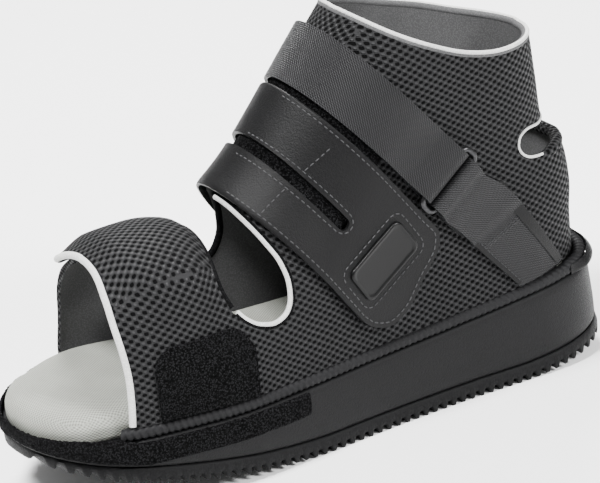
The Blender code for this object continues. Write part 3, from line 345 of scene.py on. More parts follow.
def side_path(stations, grow, height):
    """Points along the sole's side for stations from -1 to 1: the outer side is positive."""
    s = -grow + np.abs(stations) * (SOLE_LENGTH + 2 * grow)
    outer = outline(s, 1, -grow, -grow, -grow)
    inner = outline(s, -1, -grow, -grow, -grow)
    return place(np.where(stations > 0, outer, -inner), s, height(s))

# %% [markdown]
# ## The form of the upper
# The upper is described by a level function: in each side view point it has a half width,
# and how full it is there depends on how far the point lies below the crest and before the
# back. Any edge drawn in the side view can then be laid on that surface.

# %% The upper's surface
def crest_points():
    """The upper's top line in the side view, from toe to collar, in even steps."""
    points = spots(CREST)
    way = np.concatenate([[0], np.cumsum(np.linalg.norm(np.diff(points, axis=0), axis=1))])
    t = np.linspace(0, way[-1], 161)
    return np.stack([smooth(way, points[:, 0], t), smooth(way, points[:, 1], t)], axis=1)


def spots(table):
    """Side view points from a table of percents."""
    s = column(table, 0, PERCENT_LENGTH)
    return np.stack([s, seat(s) + column(table, 1, PERCENT_HEIGHT)], axis=1)
CREST_LINE = crest_points()
BACK_LINE = spots(BACK)


def below_crest(s, z):
    """Distance from the crest line, negative above it."""
    point = np.stack([np.ravel(s), np.ravel(z)], axis=1)[:, None]
    start = CREST_LINE[:-1]
    way = np.diff(CREST_LINE, axis=0)
    t = np.clip(((point - start) * way).sum(2) / (way * way).sum(1), 0, 1)
    offset = point - (start + t[..., None] * way)
    distance = np.linalg.norm(offset, axis=2)
    nearest = distance.argmin(1)
    rows = np.arange(len(nearest))
    side = way[nearest, 0] * offset[rows, nearest, 1] - way[nearest, 1] * offset[rows, nearest, 0]
    return np.reshape(np.where(side < 0, -1, 1) * distance[rows, nearest], np.shape(s))


def back_line(z):
    """How far forward the back of the upper lies at height z."""
    return smooth(BACK_LINE[:, 1], BACK_LINE[:, 0], z)


def breadth(s, z, side):
    """Half width of the upper at s and z before its instep and heel are rounded."""
    toe = end_round(SOLE_LENGTH - s, TOE_ROUND * PERCENT_LENGTH, TOE_POWER)
    foot = half_plan(s, side) * toe - UPPER_INSET
    low, high = (WAIST_HEIGHT + share * PERCENT_HEIGHT for share in ANKLE_NARROWS)
    rear, front = (share * PERCENT_LENGTH for share in ANKLE_FRONT)
    narrow = ease((z - low) / (high - low)) * np.clip((front - s) / (front - rear), 0, 1)
    return foot + (ANKLE_WIDTH / 2 - foot) * narrow


def fullness(s, z, side):
    """Square of the share of its breadth that the upper has at s and z."""
    shares = column(ARCH, 0, PERCENT_LENGTH)
    outer = smooth(shares, column(ARCH, 1, PERCENT_WIDTH), s)
    inner = smooth(shares, column(ARCH, 2, PERCENT_WIDTH), s)
    arch = np.where(side < 0, inner, outer)
    top = 1 - np.clip(1 - below_crest(s, z) / arch, 0, None) ** 2
    back = 1 - np.clip(1 - (s - back_line(z)) / HEEL_DEPTH, 0, None) ** 2
    return top * back


def level(x, s, z):
    """Zero on the outer face of the upper, negative inside it."""
    side = np.where(x < 0, -1, 1)
    half = np.where(side > 0, breadth(s, z, 1), breadth(s, z, -1))
    return (x / half) ** 2 - fullness(s, z, side)


def on_upper(side, s, z, height=0.0):
    """Point at s and z on the upper's outer face, raised by height along its normal.

    Side is 1 on the outer side, -1 on the inner one and 0 on the middle line.
    """
    side, s, z, height = (np.asarray(v, float) for v in np.broadcast_arrays(side, s, z, height))
    half = np.where(side < 0, breadth(s, z, -1), breadth(s, z, 1))
    x = side * half * np.sqrt(np.clip(fullness(s, z, side), 0, None))
    step = 0.2 * MM
    slope_x = level(x + step, s, z) - level(x - step, s, z)
    slope_s = level(x, s + step, z) - level(x, s - step, z)
    slope_z = level(x, s, z + step) - level(x, s, z - step)
    size = np.sqrt(slope_x ** 2 + slope_s ** 2 + slope_z ** 2)
    return place(x + height * slope_x / size, s + height * slope_s / size, z + height * slope_z / size)

# %% [markdown]
# ## Lines on the upper
# Bindings, straps and patches start as lines in the side view. These helpers cut a line off
# where it leaves the shoe, move it sideways and spread points along it.

# %% Lines in the side view
def dense(points, count=240):
    """A smooth line through side view points, in even steps."""
    points = np.asarray(points, float)
    way = np.concatenate([[0], np.cumsum(np.linalg.norm(np.diff(points, axis=0), axis=1))])
    t = np.linspace(0, way[-1], count)
    return np.stack([smooth(way, points[:, 0], t), smooth(way, points[:, 1], t)], axis=1)


def at_shares(line, shares):
    """Points of a side view line at shares of its length."""
    way = np.concatenate([[0], np.cumsum(np.linalg.norm(np.diff(line, axis=0), axis=1))])
    t = np.asarray(shares) * way[-1]
    return np.stack([np.interp(t, way, line[:, 0]), np.interp(t, way, line[:, 1])], axis=1)


def trimmed(points):
    """The part of a side view line that lies on the upper, cut where it meets the
    crest or the back."""
    line = dense(points)
    depth = np.minimum(below_crest(line[:, 0], line[:, 1]), line[:, 0] - back_line(line[:, 1]))
    inside = np.flatnonzero(depth > 0)
    first, last = inside[0], inside[-1]
    kept = [line[first:last + 1]]
    if first > 0:
        t = depth[first] / (depth[first] - depth[first - 1])
        kept.insert(0, (line[first] + t * (line[first - 1] - line[first]))[None])
    if last < len(line) - 1:
        t = depth[last] / (depth[last] - depth[last + 1])
        kept.append((line[last] + t * (line[last + 1] - line[last]))[None])
    return np.concatenate(kept)


def shifted(points, distance):
    """A side view line moved sideways, to the left of its own direction."""
    line = dense(points)
    way = np.gradient(line, axis=0)
    way /= np.linalg.norm(way, axis=1)[:, None]
    return line + distance * np.stack([-way[:, 1], way[:, 0]], axis=1)


def from_middle(points, steps):
    """Points from the middle line of the shoe down to a line's end, closer at the middle."""
    return at_shares(trimmed(points), 1 - np.cos(np.linspace(0, math.pi / 2, steps + 1)))


def middle_to_middle(points, steps):
    """Points of a line that starts and ends on the middle line of the shoe."""
    return at_shares(trimmed(points), round_stations(steps))


def across(outer, inner):
    """One path over the crest: up the inner side, then down the outer side.

    Both are given from the middle line down. Returns side, s and z for each point.
    """
    side = np.concatenate([-np.ones(len(inner) - 1), [0], np.ones(len(outer) - 1)])
    line = np.concatenate([inner[:0:-1], outer])
    return side, line[:, 0], line[:, 1]


def closed_path(outer, inner, height):
    """A closed path round the upper from two lines between the same middle points."""
    side = np.ones(len(outer))
    side[0] = side[-1] = 0
    one = on_upper(side, outer[:, 0], outer[:, 1], height)
    other = on_upper(-side, inner[:, 0], inner[:, 1], height)
    one[[0, -1]] = (one[[0, -1]] + other[[0, -1]]) / 2
    return np.concatenate([one, other[-2:0:-1]])

# %% [markdown]
# ## Making meshes
# A piece of cloth is a grid of points with a second grid under it. Its points also get a
# place on the flat cloth, in metres, as a UV map, so that a weave can follow the strap.
# Plain objects with a Solidify modifier would work, but two grids give each edge its depth.

# %% Mesh helpers
pieces = {}


def keep(made, material, slot, *nodes):
    """Gives a piece its finish, sets it on the shoe and hides the solids it stands for."""
    if material:
        made.data.materials.append(material)
    if made.name not in bpy.context.scene.collection.objects:
        bpy.context.scene.collection.objects.link(made)
    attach(made, "root")
    if nodes:
        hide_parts(*nodes)
    pieces[made.name] = made
    bpy.context.view_layer.update()
    print(made.name, "size in mm:", [round(v * 1000, 1) for v in made.dimensions])
    return made


def skin(name, points, faces, flat=None, sharp=40, lined=()):
    """An object of points and faces that look outward. Flat is each point's place on the cloth."""
    mesh = bpy.data.meshes.new(name)
    mesh.from_pydata(np.asarray(points).tolist(), [], faces)
    for index in lined:
        mesh.polygons[index].material_index = 1
    if flat is not None:
        layer = mesh.uv_layers.new(name="cloth")
        corner = np.zeros(len(mesh.loops), int)
        mesh.loops.foreach_get("vertex_index", corner)
        layer.data.foreach_set("uv", np.asarray(flat)[corner].astype(np.float32).ravel())
    work = bmesh.new()
    work.from_mesh(mesh)
    bmesh.ops.remove_doubles(work, verts=work.verts, dist=0.005 * MM)
    bmesh.ops.dissolve_degenerate(work, dist=0.005 * MM, edges=work.edges)
    bmesh.ops.recalc_face_normals(work, faces=work.faces)
    if work.calc_volume(signed=True) < 0:
        bmesh.ops.reverse_faces(work, faces=work.faces)
    work.to_mesh(mesh)
    work.free()
    mesh.shade_smooth()
    mesh.set_sharp_from_angle(angle=math.radians(sharp))
    return bpy.data.objects.new(name, mesh)


def spread(grid):
    """Each grid point's way along and across the cloth, in metres."""
    along = np.linalg.norm(np.diff(grid, axis=1), axis=2).mean(0)
    cross = np.linalg.norm(np.diff(grid, axis=0), axis=2).mean(1)
    u, v = np.meshgrid(np.append(0, np.cumsum(along)), np.append(0, np.cumsum(cross)))
    return np.stack([u, v], axis=-1).reshape(-1, 2)


def grid_faces(rows, columns, start=0):
    """Quads over a grid of points."""
    return [(start + i * columns + j, start + i * columns + j + 1,
             start + (i + 1) * columns + j + 1, start + (i + 1) * columns + j)
            for i in range(rows - 1) for j in range(columns - 1)]


def cloth(name, outer, inner, sharp=40):
    """A solid sheet between two grids of points with the same rows and columns."""
    rows, columns = outer.shape[:2]
    size = rows * columns
    faces = grid_faces(rows, columns) + grid_faces(rows, columns, size)
    edge = list(range(columns)) + [i * columns + columns - 1 for i in range(1, rows)]
    edge += [(rows - 1) * columns + j for j in range(columns - 2, -1, -1)]
    edge += [i * columns for i in range(rows - 2, 0, -1)]
    faces += [(a, b, size + b, size + a) for a, b in zip(edge, edge[1:] + edge[:1])]
    points = np.concatenate([outer.reshape(-1, 3), inner.reshape(-1, 3)])
    flat = np.concatenate([spread(outer)] * 2)
    one_side = (rows - 1) * (columns - 1)
    return skin(name, points, faces, flat, sharp, range(one_side, 2 * one_side))


def loft(name, rings, flat_ends=True, sharp=40):
    """A solid skin over closed rings that run out along one side and back along the other."""
    count = len(rings[0])
    faces = [(k * count + i, k * count + (i + 1) % count, (k + 1) * count + (i + 1) % count,
              (k + 1) * count + i) for k in range(len(rings) - 1) for i in range(count)]
    half = count // 2
    for base in (0, (len(rings) - 1) * count):
        if flat_ends:
            faces += [(base + i, base + i + 1, base + count - i - 1, base + count - i)
                      for i in range(1, half - 1)]
            faces += [(base, base + 1, base + count - 1), (base + half, base + half - 1, base + half + 1)]
        else:
            faces.append(tuple(range(base, base + count)))
    return skin(name, np.concatenate(rings), faces, sharp=sharp)


def cord(name, points, width, closed=False, around=12):
    """A round cord along points, as a mesh with its length on the cloth's u."""
    points = np.asarray(points)
    way = np.roll(points, -1, 0) - np.roll(points, 1, 0) if closed else np.gradient(points, axis=0)
    way /= np.linalg.norm(way, axis=1)[:, None]
    across_it = np.cross(way[0], (0.3, 0.2, 1.0))
    first = []
    for step in way:
        across_it = across_it - step * np.dot(across_it, step)
        across_it /= np.linalg.norm(across_it)
        first.append(across_it.copy())
    first = np.array(first)
    second = np.cross(way, first)
    turns = np.linspace(0, 2 * math.pi, around + 1)[:-1]
    size = np.asarray(width, float)[..., None, None] / 2
    rings = points[:, None] + size * (np.cos(turns)[:, None] * first[:, None]
                                      + np.sin(turns)[:, None] * second[:, None])
    rows = len(points)
    last = rows if closed else rows - 1
    faces = [(i * around + j, i * around + (j + 1) % around,
              (i + 1) % rows * around + (j + 1) % around, (i + 1) % rows * around + j)
             for i in range(last) for j in range(around)]
    if not closed:
        faces += [tuple(range(around)), tuple(range(rows * around - 1, (rows - 1) * around - 1, -1))]
    run = np.append(0, np.cumsum(np.linalg.norm(np.diff(points, axis=0), axis=1)))
    flat = np.stack(np.broadcast_arrays(run[:, None], turns * np.mean(width) / 2), axis=-1).reshape(-1, 2)
    return skin(name, rings.reshape(-1, 3), faces, flat)


# %% [markdown]
# ## Cutting openings
# Toe, throat, collar and heel slot are holes with free outlines. A cutter is the outline
# drawn out across the shoe, and an exact Boolean takes it out of the finished shell.

# %% Cutters
def cutter(name, outlines):
    """A hidden solid through side view outlines at several distances x."""
    count = len(outlines[0][1])
    corners = np.concatenate([place(x, line[:, 0], line[:, 1]) for x, line in outlines])
    faces = [(k + i, k + (i + 1) % count, k + count + (i + 1) % count, k + count + i)
             for k in range(0, (len(outlines) - 1) * count, count) for i in range(count)]
    faces += [tuple(range(count)), tuple(range(len(corners) - 1, len(corners) - count - 1, -1))]
    made = skin(name, corners, faces)
    bpy.context.scene.collection.objects.link(made)
    return made


def cut(target, *cutters):
    """Takes the cutters out of a piece and leaves one plain mesh."""
    for tool in cutters:
        modifier = target.modifiers.new(tool.name, "BOOLEAN")
        modifier.operation, modifier.solver, modifier.object = "DIFFERENCE", "EXACT", tool
    settle(target)
    for tool in cutters:
        bpy.data.objects.remove(tool, do_unlink=True)


def settle(target, sharp=40):
    """Applies a piece's modifiers."""
    if target.name not in bpy.context.scene.collection.objects:
        bpy.context.scene.collection.objects.link(target)
    shape = bpy.data.meshes.new_from_object(target.evaluated_get(bpy.context.evaluated_depsgraph_get()))
    target.modifiers.clear()
    target.data = shape
    shape.shade_smooth()
    shape.set_sharp_from_angle(angle=math.radians(sharp))


# %% [markdown]
# ## Stitches
# A sewn line is a row of short thread ends that stand a little proud of the leather. Each is
# a small six sided grain along the line, and one mesh holds them all. A dashed texture would
# be lighter, but close to the camera real threads catch the light.

# %% Stitches
def stitches(name, lines, length=2.0 * MM, gap=1.1 * MM, thread=0.55 * MM):
    """Thread grains along 3D lines, as one object."""
    turns = np.linspace(0, 2 * math.pi, 7)[:-1]
    points, faces = [], []
    for line in lines:
        line = np.asarray(line)
        run = np.append(0, np.cumsum(np.linalg.norm(np.diff(line, axis=0), axis=1)))
        for start in np.arange(gap / 2, run[-1] - length, length + gap):
            a, b = (np.array([np.interp(at, run, line[:, k]) for k in range(3)])
                    for at in (start, start + length))
            way = (b - a) / np.linalg.norm(b - a)
            one = np.cross(way, (0.21, 0.37, 0.9))
            one /= np.linalg.norm(one)
            two = np.cross(way, one)
            base = len(points)
            for share, size in ((0, 0.35), (0.2, 1), (0.8, 1), (1, 0.35)):
                centre = a + (b - a) * share
                points += [centre + thread / 2 * size * (math.cos(t) * one + math.sin(t) * two) for t in turns]
            for k in range(3):
                faces += [(base + k * 6 + i, base + k * 6 + (i + 1) % 6,
                           base + k * 6 + 6 + (i + 1) % 6, base + k * 6 + 6 + i) for i in range(6)]
            faces += [tuple(base + i for i in range(6)), tuple(base + 23 - i for i in range(6))]
    return skin(name, points, faces, sharp=60)


# %% [markdown]
# ## Shared surface effects
# Several finishes need the same things: holes of a spacer mesh, painted dark as painted shade in the holes and with a
# painted glint on the yarn, a fuzzy pile, the ribs of a twill and slow changes of shade from dust and handling. Each is
# one node group with named inputs, placed in a material with that material's own values.

# %% Node helpers
def wire(tree, kind, inputs=(), **settings):
    """A node with its settings, and its inputs set or linked."""
    node = tree.nodes.new(kind)
    for key, value in settings.items():
        setattr(node, key, value)
    for key, value in dict(inputs).items():
        if isinstance(value, bpy.types.NodeSocket):
            tree.links.new(value, node.inputs[key])
        else:
            node.inputs[key].default_value = value
    return node


def calc(tree, operation, *values):
    return wire(tree, "ShaderNodeMath", enumerate(values), operation=operation).outputs[0]


def ramp(tree, value, low, high, to_low=0.0, to_high=1.0):
    """Smoothly maps a value from one range to another."""
    node = wire(tree, "ShaderNodeMapRange", {0: value, 1: low, 2: high, 3: to_low, 4: to_high},
                interpolation_type="SMOOTHSTEP")
    return node.outputs[0]


def node_group(name, inputs, outputs):
    tree = bpy.data.node_groups.new(name, "ShaderNodeTree")
    for key, value in inputs.items():
        socket = tree.interface.new_socket(name=key, in_out="INPUT", socket_type="NodeSocketFloat")
        socket.default_value = value
    for key in outputs:
        tree.interface.new_socket(name=key, in_out="OUTPUT", socket_type="NodeSocketFloat")
    return tree, tree.nodes.new("NodeGroupInput").outputs, tree.nodes.new("NodeGroupOutput").inputs


# %% Group: spacer mesh
def spacer_mesh_group():
    """Rounded holes in staggered rows, painted dark as painted shade in the holes, with a painted glint that lightens
    the yarn where it crosses. The three views of the surface are mixed by its normal.
    """
    tree, given, out = node_group("spacer_mesh", {"Pitch": 0.0044, "Hole Size": 0.5}, ("Hole Shade And Glint", "Height"))
    place_on = tree.nodes.new("ShaderNodeTexCoord")
    wobble = wire(tree, "ShaderNodeTexNoise", {"Vector": place_on.outputs["Object"], "Scale": 60.0, "Detail": 1.0})
    moved = wire(tree, "ShaderNodeVectorMath", {0: wobble.outputs["Color"], 1: (0.0012, 0.0012, 0.0012),
                                                2: place_on.outputs["Object"]}, operation="MULTIPLY_ADD")
    turns = calc(tree, "DIVIDE", 2 * math.pi, given["Pitch"])
    scaled = wire(tree, "ShaderNodeVectorMath", {0: moved.outputs[0], "Scale": turns}, operation="SCALE")
    stretched = wire(tree, "ShaderNodeVectorMath", {0: scaled.outputs[0], 1: (1.0, 0.8, 1.15)},
                     operation="MULTIPLY")
    waves = wire(tree, "ShaderNodeVectorMath", {0: stretched.outputs[0]}, operation="COSINE")
    c = wire(tree, "ShaderNodeSeparateXYZ", {0: waves.outputs[0]}).outputs
    flat = wire(tree, "ShaderNodeVectorMath", {0: place_on.outputs["Normal"]}, operation="ABSOLUTE")
    n = wire(tree, "ShaderNodeSeparateXYZ", {0: flat.outputs[0]}).outputs
    weights = [calc(tree, "POWER", n[k], 28.0) for k in range(3)]
    total = calc(tree, "ADD", calc(tree, "ADD", weights[0], weights[1]), weights[2])
    parts = [calc(tree, "MULTIPLY", weights[k], calc(tree, "MULTIPLY", c[(k + 1) % 3], c[(k + 2) % 3]))
             for k in range(3)]
    wave = calc(tree, "DIVIDE", calc(tree, "ADD", calc(tree, "ADD", parts[0], parts[1]), parts[2]), total)
    edge = calc(tree, "SUBTRACT", 0.62, given["Hole Size"])
    hole = ramp(tree, wave, edge, calc(tree, "ADD", edge, 0.42))
    # Painted glint: the yarn is painted lighter where the yarns cross and a little darker elsewhere. The holes are
    # painted dark as painted shade.
    glint = ramp(tree, wave, -0.25, -0.85)
    painted_glint_tone = calc(tree, "MULTIPLY_ADD", glint, -0.45, 0.45)
    tree.links.new(calc(tree, "MAXIMUM", hole, painted_glint_tone), out["Hole Shade And Glint"])
    tree.links.new(calc(tree, "SUBTRACT", calc(tree, "MULTIPLY", glint, 0.5), hole), out["Height"])
    return tree


SPACER_MESH = spacer_mesh_group()


# %% Group: fuzzy pile
def pile_group():
    """Loops and hairs of a fuzzy cloth: small clumps with finer hairs over them."""
    tree, given, out = node_group("pile", {"Clump": 0.0011, "Hair": 0.0003}, ("Height", "Tip"))
    place_on = tree.nodes.new("ShaderNodeTexCoord").outputs["Object"]
    clump = wire(tree, "ShaderNodeTexVoronoi", {"Vector": place_on, "Scale": calc(tree, "DIVIDE", 1.0, given["Clump"])})
    hair = wire(tree, "ShaderNodeTexNoise", {"Vector": place_on, "Detail": 3.0, "Roughness": 0.7,
                                             "Scale": calc(tree, "DIVIDE", 1.0, given["Hair"])})
    height = calc(tree, "MULTIPLY_ADD", clump.outputs["Distance"], -0.6,
                  calc(tree, "MULTIPLY_ADD", hair.outputs[0], 1.1, 0.2))
    tree.links.new(height, out["Height"])
    tree.links.new(ramp(tree, height, 0.35, 0.75), out["Tip"])
    return tree


PILE = pile_group()


# %% Group: twill ribs
def twill_group():
    """Slanting ribs of woven tape, along the cloth's own u and v."""
    tree, given, out = node_group("twill", {"Rib": 0.0011, "Thread": 0.0007}, ("Height", "Rib Shade"))
    flat = wire(tree, "ShaderNodeSeparateXYZ", {0: tree.nodes.new("ShaderNodeUVMap").outputs[0]}).outputs
    slant = calc(tree, "MULTIPLY_ADD", flat[0], 0.8, flat[1])
    rib = calc(tree, "SINE", calc(tree, "DIVIDE", calc(tree, "MULTIPLY", slant, 2 * math.pi), given["Rib"]))
    thread = calc(tree, "SINE", calc(tree, "DIVIDE", calc(tree, "MULTIPLY", flat[1], 2 * math.pi),
                                     given["Thread"]))
    height = calc(tree, "MULTIPLY_ADD", rib, 0.35, calc(tree, "MULTIPLY_ADD", thread, 0.15, 0.5))
    tree.links.new(height, out["Height"])
    tree.links.new(ramp(tree, height, 0.1, 0.9), out["Rib Shade"])
    return tree


TWILL = twill_group()


# %% Group: slow shade
def shade_group():
    """Slow changes of shade over a surface, from dust and handling, around 1."""
    tree, given, out = node_group("slow_shade", {"Patch": 0.03, "Amount": 0.2}, ("Shade",))
    place_on = tree.nodes.new("ShaderNodeTexCoord").outputs["Object"]
    noise = wire(tree, "ShaderNodeTexNoise", {"Vector": place_on, "Detail": 4.0,
                                              "Scale": calc(tree, "DIVIDE", 1.0, given["Patch"])})
    centred = calc(tree, "SUBTRACT", noise.outputs[0], 0.5)
    tree.links.new(calc(tree, "MULTIPLY_ADD", centred, calc(tree, "MULTIPLY", given["Amount"], 2.0), 1.0),
                   out["Shade"])
    return tree


SLOW_SHADE = shade_group()


# %% [markdown]
# ## Finishes
# Every finish starts from a Principled shader. Its base colour mixes a low and a high tone by
# the effect's mask, and a Bump node turns the effect's height into relief. Values that are
# the same all over are set on the shader itself.

# %% A finish from its effect
def place_group(tree, group, values):
    """A node group in a material, with that material's own values."""
    node = wire(tree, "ShaderNodeGroup", node_tree=group)
    for key, value in values.items():
        node.inputs[key].default_value = value
    return node


def mix_colours(tree, mask, low, high):
    node = tree.nodes.new("ShaderNodeMix")
    node.data_type = "RGBA"
    tree.links.new(mask, node.inputs["Factor"])
    node.inputs["A"].default_value = (*low, 1)
    node.inputs["B"].default_value = (*high, 1)
    return node.outputs["Result"]


def finish(name, low, high, effect, values, mask, relief, rough=(0.7, 0.6), patch=(0.03, 0.2), **shader_values):
    """A material: low and high tone by the effect's mask, relief from its height, in metres."""
    material = bpy.data.materials.new(name)
    material.use_nodes = True
    tree = material.node_tree
    shader = tree.nodes["Principled BSDF"]
    for key, value in shader_values.items():
        shader.inputs[key.replace("_", " ")].default_value = value
    shade = place_group(tree, SLOW_SHADE, {"Patch": patch[0], "Amount": patch[1]}).outputs["Shade"]
    made = place_group(tree, effect, values)
    tone = mix_colours(tree, made.outputs[mask], low, high)
    shaded = wire(tree, "ShaderNodeVectorMath", {0: tone, "Scale": shade}, operation="SCALE")
    tree.links.new(shaded.outputs[0], shader.inputs["Base Color"])
    tree.links.new(ramp(tree, made.outputs[mask], 0.0, 1.0, *rough), shader.inputs["Roughness"])
    bump = wire(tree, "ShaderNodeBump", {"Height": made.outputs["Height"], "Distance": relief, "Strength": 1.0})
    tree.links.new(bump.outputs[0], shader.inputs["Normal"])
    return material


# %% The shoe's finishes
# Mesh cloth: the holes are painted near black as painted shade, and the yarn crossings are painted lighter as a painted
# glint.
mesh_cloth = finish("mesh_cloth", (0.026, 0.026, 0.027), (0.0004, 0.0004, 0.0005), SPACER_MESH,
                    {"Pitch": 0.0037, "Hole Size": 0.60}, "Hole Shade And Glint", 1.6 * MM, (0.5, 1.0), Specular_IOR_Level=0.10)
fuzzy_cloth = finish("fuzzy_cloth", (0.0006, 0.0006, 0.0007), (0.016, 0.016, 0.017), PILE,
                     {"Clump": 0.0009, "Hair": 0.0004}, "Tip", 1.0 * MM, (1.0, 0.9), Specular_IOR_Level=0.05)
webbing_cloth = finish("webbing_cloth", (0.0015, 0.0015, 0.0017), (0.017, 0.017, 0.018), TWILL,
                       {"Rib": 0.0013, "Thread": 0.0009}, "Rib Shade", 0.3 * MM, (0.5, 0.36),
                       Specular_IOR_Level=0.14)
piping_cloth = finish("piping_cloth", (0.52, 0.52, 0.51), (0.72, 0.72, 0.70), PILE,
                      {"Clump": 0.0007, "Hair": 0.0003}, "Tip", 0.35 * MM, (0.95, 0.85),
                      Specular_IOR_Level=0.2)
thread_cloth = finish("thread_cloth", (0.0010, 0.0010, 0.0012), (0.018, 0.018, 0.019), TWILL,
                      {"Rib": 0.0008, "Thread": 0.0005}, "Rib Shade", 0.3 * MM, (0.7, 0.5),
                      Specular_IOR_Level=0.10)
dark_cloth = finish("dark_cloth", (0.0008, 0.0008, 0.0009), (0.008, 0.008, 0.0085), PILE,
                    {"Clump": 0.0008, "Hair": 0.0003}, "Tip", 0.3 * MM, (0.95, 0.85), Specular_IOR_Level=0.06)
lining_cloth = finish("lining_cloth", (0.055, 0.055, 0.056), (0.085, 0.085, 0.086), PILE,
                      {"Clump": 0.0007, "Hair": 0.0003}, "Tip", 0.1 * MM, (0.85, 0.75), Specular_IOR_Level=0.2)
# Insole knit: its pits are painted darker as painted shade, and the yarn crossings are painted lighter as a painted
# glint.
insole_cloth = finish("insole_cloth", (0.34, 0.35, 0.315), (0.15, 0.155, 0.135), SPACER_MESH,
                      {"Pitch": 0.0015, "Hole Size": 0.46}, "Hole Shade And Glint", 0.3 * MM, (0.8, 0.95),
                      Specular_IOR_Level=0.2)
strap_leather = finish("strap_leather", (0.0022, 0.0022, 0.0024), (0.0040, 0.0040, 0.0042), PILE,
                       {"Clump": 0.0009, "Hair": 0.0004}, "Tip", 0.12 * MM, (0.44, 0.56), Specular_IOR_Level=0.12)
sole_foam = finish("sole_foam", (0.0015, 0.0015, 0.0017), (0.006, 0.006, 0.0065), PILE,
                   {"Clump": 0.0008, "Hair": 0.0004}, "Tip", 0.15 * MM, (0.45, 0.6), Specular_IOR_Level=0.12)
tread_rubber = finish("tread_rubber", (0.0015, 0.0015, 0.0017), (0.006, 0.006, 0.0065), PILE,
                      {"Clump": 0.0010, "Hair": 0.0005}, "Tip", 0.15 * MM, (0.5, 0.65), Specular_IOR_Level=0.10)
plate_rubber = finish("plate_rubber", (0.0012, 0.0012, 0.0013), (0.0020, 0.0020, 0.0021), PILE,
                      {"Clump": 0.0005, "Hair": 0.0002}, "Tip", 0.03 * MM, (0.28, 0.34), Specular_IOR_Level=0.16)
thread_light = finish("thread_light", (0.022, 0.022, 0.023), (0.045, 0.045, 0.047), TWILL,
                      {"Rib": 0.0005, "Thread": 0.0004}, "Rib Shade", 0.03 * MM, (0.6, 0.5),
                      Specular_IOR_Level=0.2)
ring_paint = finish("ring_paint", (0.025, 0.025, 0.026), (0.045, 0.045, 0.047), PILE,
                    {"Clump": 0.0009, "Hair": 0.0003}, "Tip", 0.02 * MM, (0.28, 0.34), Metallic=0.9)
print("finishes:", len(bpy.data.materials))

# %% [markdown]
# ## Tread
# The tread is a rubber sheet with rounded ribs across it, flat from heel to ball and rolled
# up at the toe. It is a loft of outlines whose lower one dips along the ribs. An array of
# ribs and a Boolean would give the same, but here each rib ends in the outline by itself.

# %% Tread
def make_tread():
    count = int(SOLE_LENGTH / RIDGE_PITCH)
    s = np.linspace(0, SOLE_LENGTH, count * 12 + 1)

    def ribs(at):
        wave = np.cos(2 * math.pi * (at / RIDGE_PITCH - 0.5))
        return tread(at) + RIDGE_DEPTH * ease(0.5 + wave * 0.85)

    rings = [ring(s / SOLE_LENGTH, lambda at: ribs(at) + 0.3 * MM, -HEEL_FLARE, 0, -0.2 * MM),
             ring(s / SOLE_LENGTH, lambda at: ribs(at) + 1.2 * MM, -HEEL_FLARE - 0.3 * MM, -0.3 * MM, -0.5 * MM),
             ring(s / SOLE_LENGTH, lambda at: parting(at) - 0.8 * MM, -HEEL_FLARE * 0.8, 0, -0.4 * MM),
             ring(s / SOLE_LENGTH, parting, -HEEL_FLARE * 0.7, 0.4 * MM, 0.3 * MM)]
    rings[0][:, 2] -= 0.3 * MM
    return loft("tread_sheet", rings, sharp=50)


keep(make_tread(), tread_rubber, "tread_rubber", "outsole")

# %% [markdown]
# ## Wedge
# The thick foam wedge has a nearly straight side with soft edges at top and bottom. Extra
# rings near each edge round it, which is what a Bevel modifier would do, but evenly.

# %% Wedge
def make_wedge():
    stations = round_stations(150)
    rings = []
    for share, inset in ((0, 0.9), (0.03, 0.25), (0.08, 0), (0.3, -0.15), (0.6, 0), (0.85, 0.1), (0.93, 0.35),
                         (0.98, 0.9), (1, 1.9)):
        def height(s, share=share):
            return parting(s) + 0.1 * MM + share * (seat(s) - parting(s))
        rings.append(ring(stations, height, -HEEL_FLARE * 0.8 * (1 - share) + inset * MM, inset * MM, inset * MM))
    return loft("foam_wedge", rings, sharp=60)


keep(make_wedge(), sole_foam, "sole_foam", "midsole")

# %% [markdown]
# ## Toe rand
# A band of fuzzy loop fabric is glued round the toe of the wedge and stands up as a rim that
# holds the insole. Its pile makes the surface uneven, so a fine noise moves the points.

# %% Pile relief
def ruffle(made, amount, size=2.2 * MM, seed=3):
    """Moves the points of a fuzzy piece along their normals by smooth noise."""
    count = len(made.data.vertices)
    co = np.zeros(count * 3)
    normal = np.zeros(count * 3)
    made.data.vertices.foreach_get("co", co)
    made.data.vertices.foreach_get("normal", normal)
    co, normal = co.reshape(-1, 3), normal.reshape(-1, 3)
    rng = np.random.default_rng(seed)
    total = np.zeros(count)
    for _ in range(24):
        way = rng.normal(size=3)
        way *= 2 * math.pi / size * rng.uniform(0.6, 1.6) / np.linalg.norm(way)
        total += np.sin(co @ way + rng.uniform(0, 6.28))
    co += normal * (amount * total / 5)[:, None]
    made.data.vertices.foreach_set("co", co.ravel())
    made.data.update()


# %% Toe rand
def make_rand():
    start = 58 / 100
    stations = start + (1 - start) * np.sin(np.linspace(0, math.pi / 2, 130))
    stations = np.concatenate([stations, -stations[-2::-1]])

    def bottom(s):
        return np.maximum(parting(s) + 1.5 * MM, seat(s) - 11 * MM)

    def top(s):
        return seat(s) - 0.6 * MM + 3.8 * MM * ease((s / SOLE_LENGTH - 0.86) / 0.06)

    def layer(grow):
        rows = ((0, 0.3), (0.03, 0.8), (0.08, 1), (0.3, 1), (0.5, 1), (0.7, 1), (0.9, 1), (0.96, 0.85), (1, 0.4))
        return np.stack([side_path(stations, CLEARANCE / 2 + grow * full,
                                   lambda s, share=share: bottom(s) + share * (top(s) - bottom(s)))
                         for share, full in rows])

    made = cloth("rand_cloth", layer(RAND_THICKNESS), layer(0), sharp=80)
    ruffle(made, 0.22 * MM)
    return made


keep(make_rand(), fuzzy_cloth, "loop_fabric", "toe_rand")

# %% [markdown]
# ## Welt
# Upper and sole meet in an overlocked seam: thread that winds round the edge in slanting
# turns, in two tiers. It is a tube along the outline whose radius follows the winding.

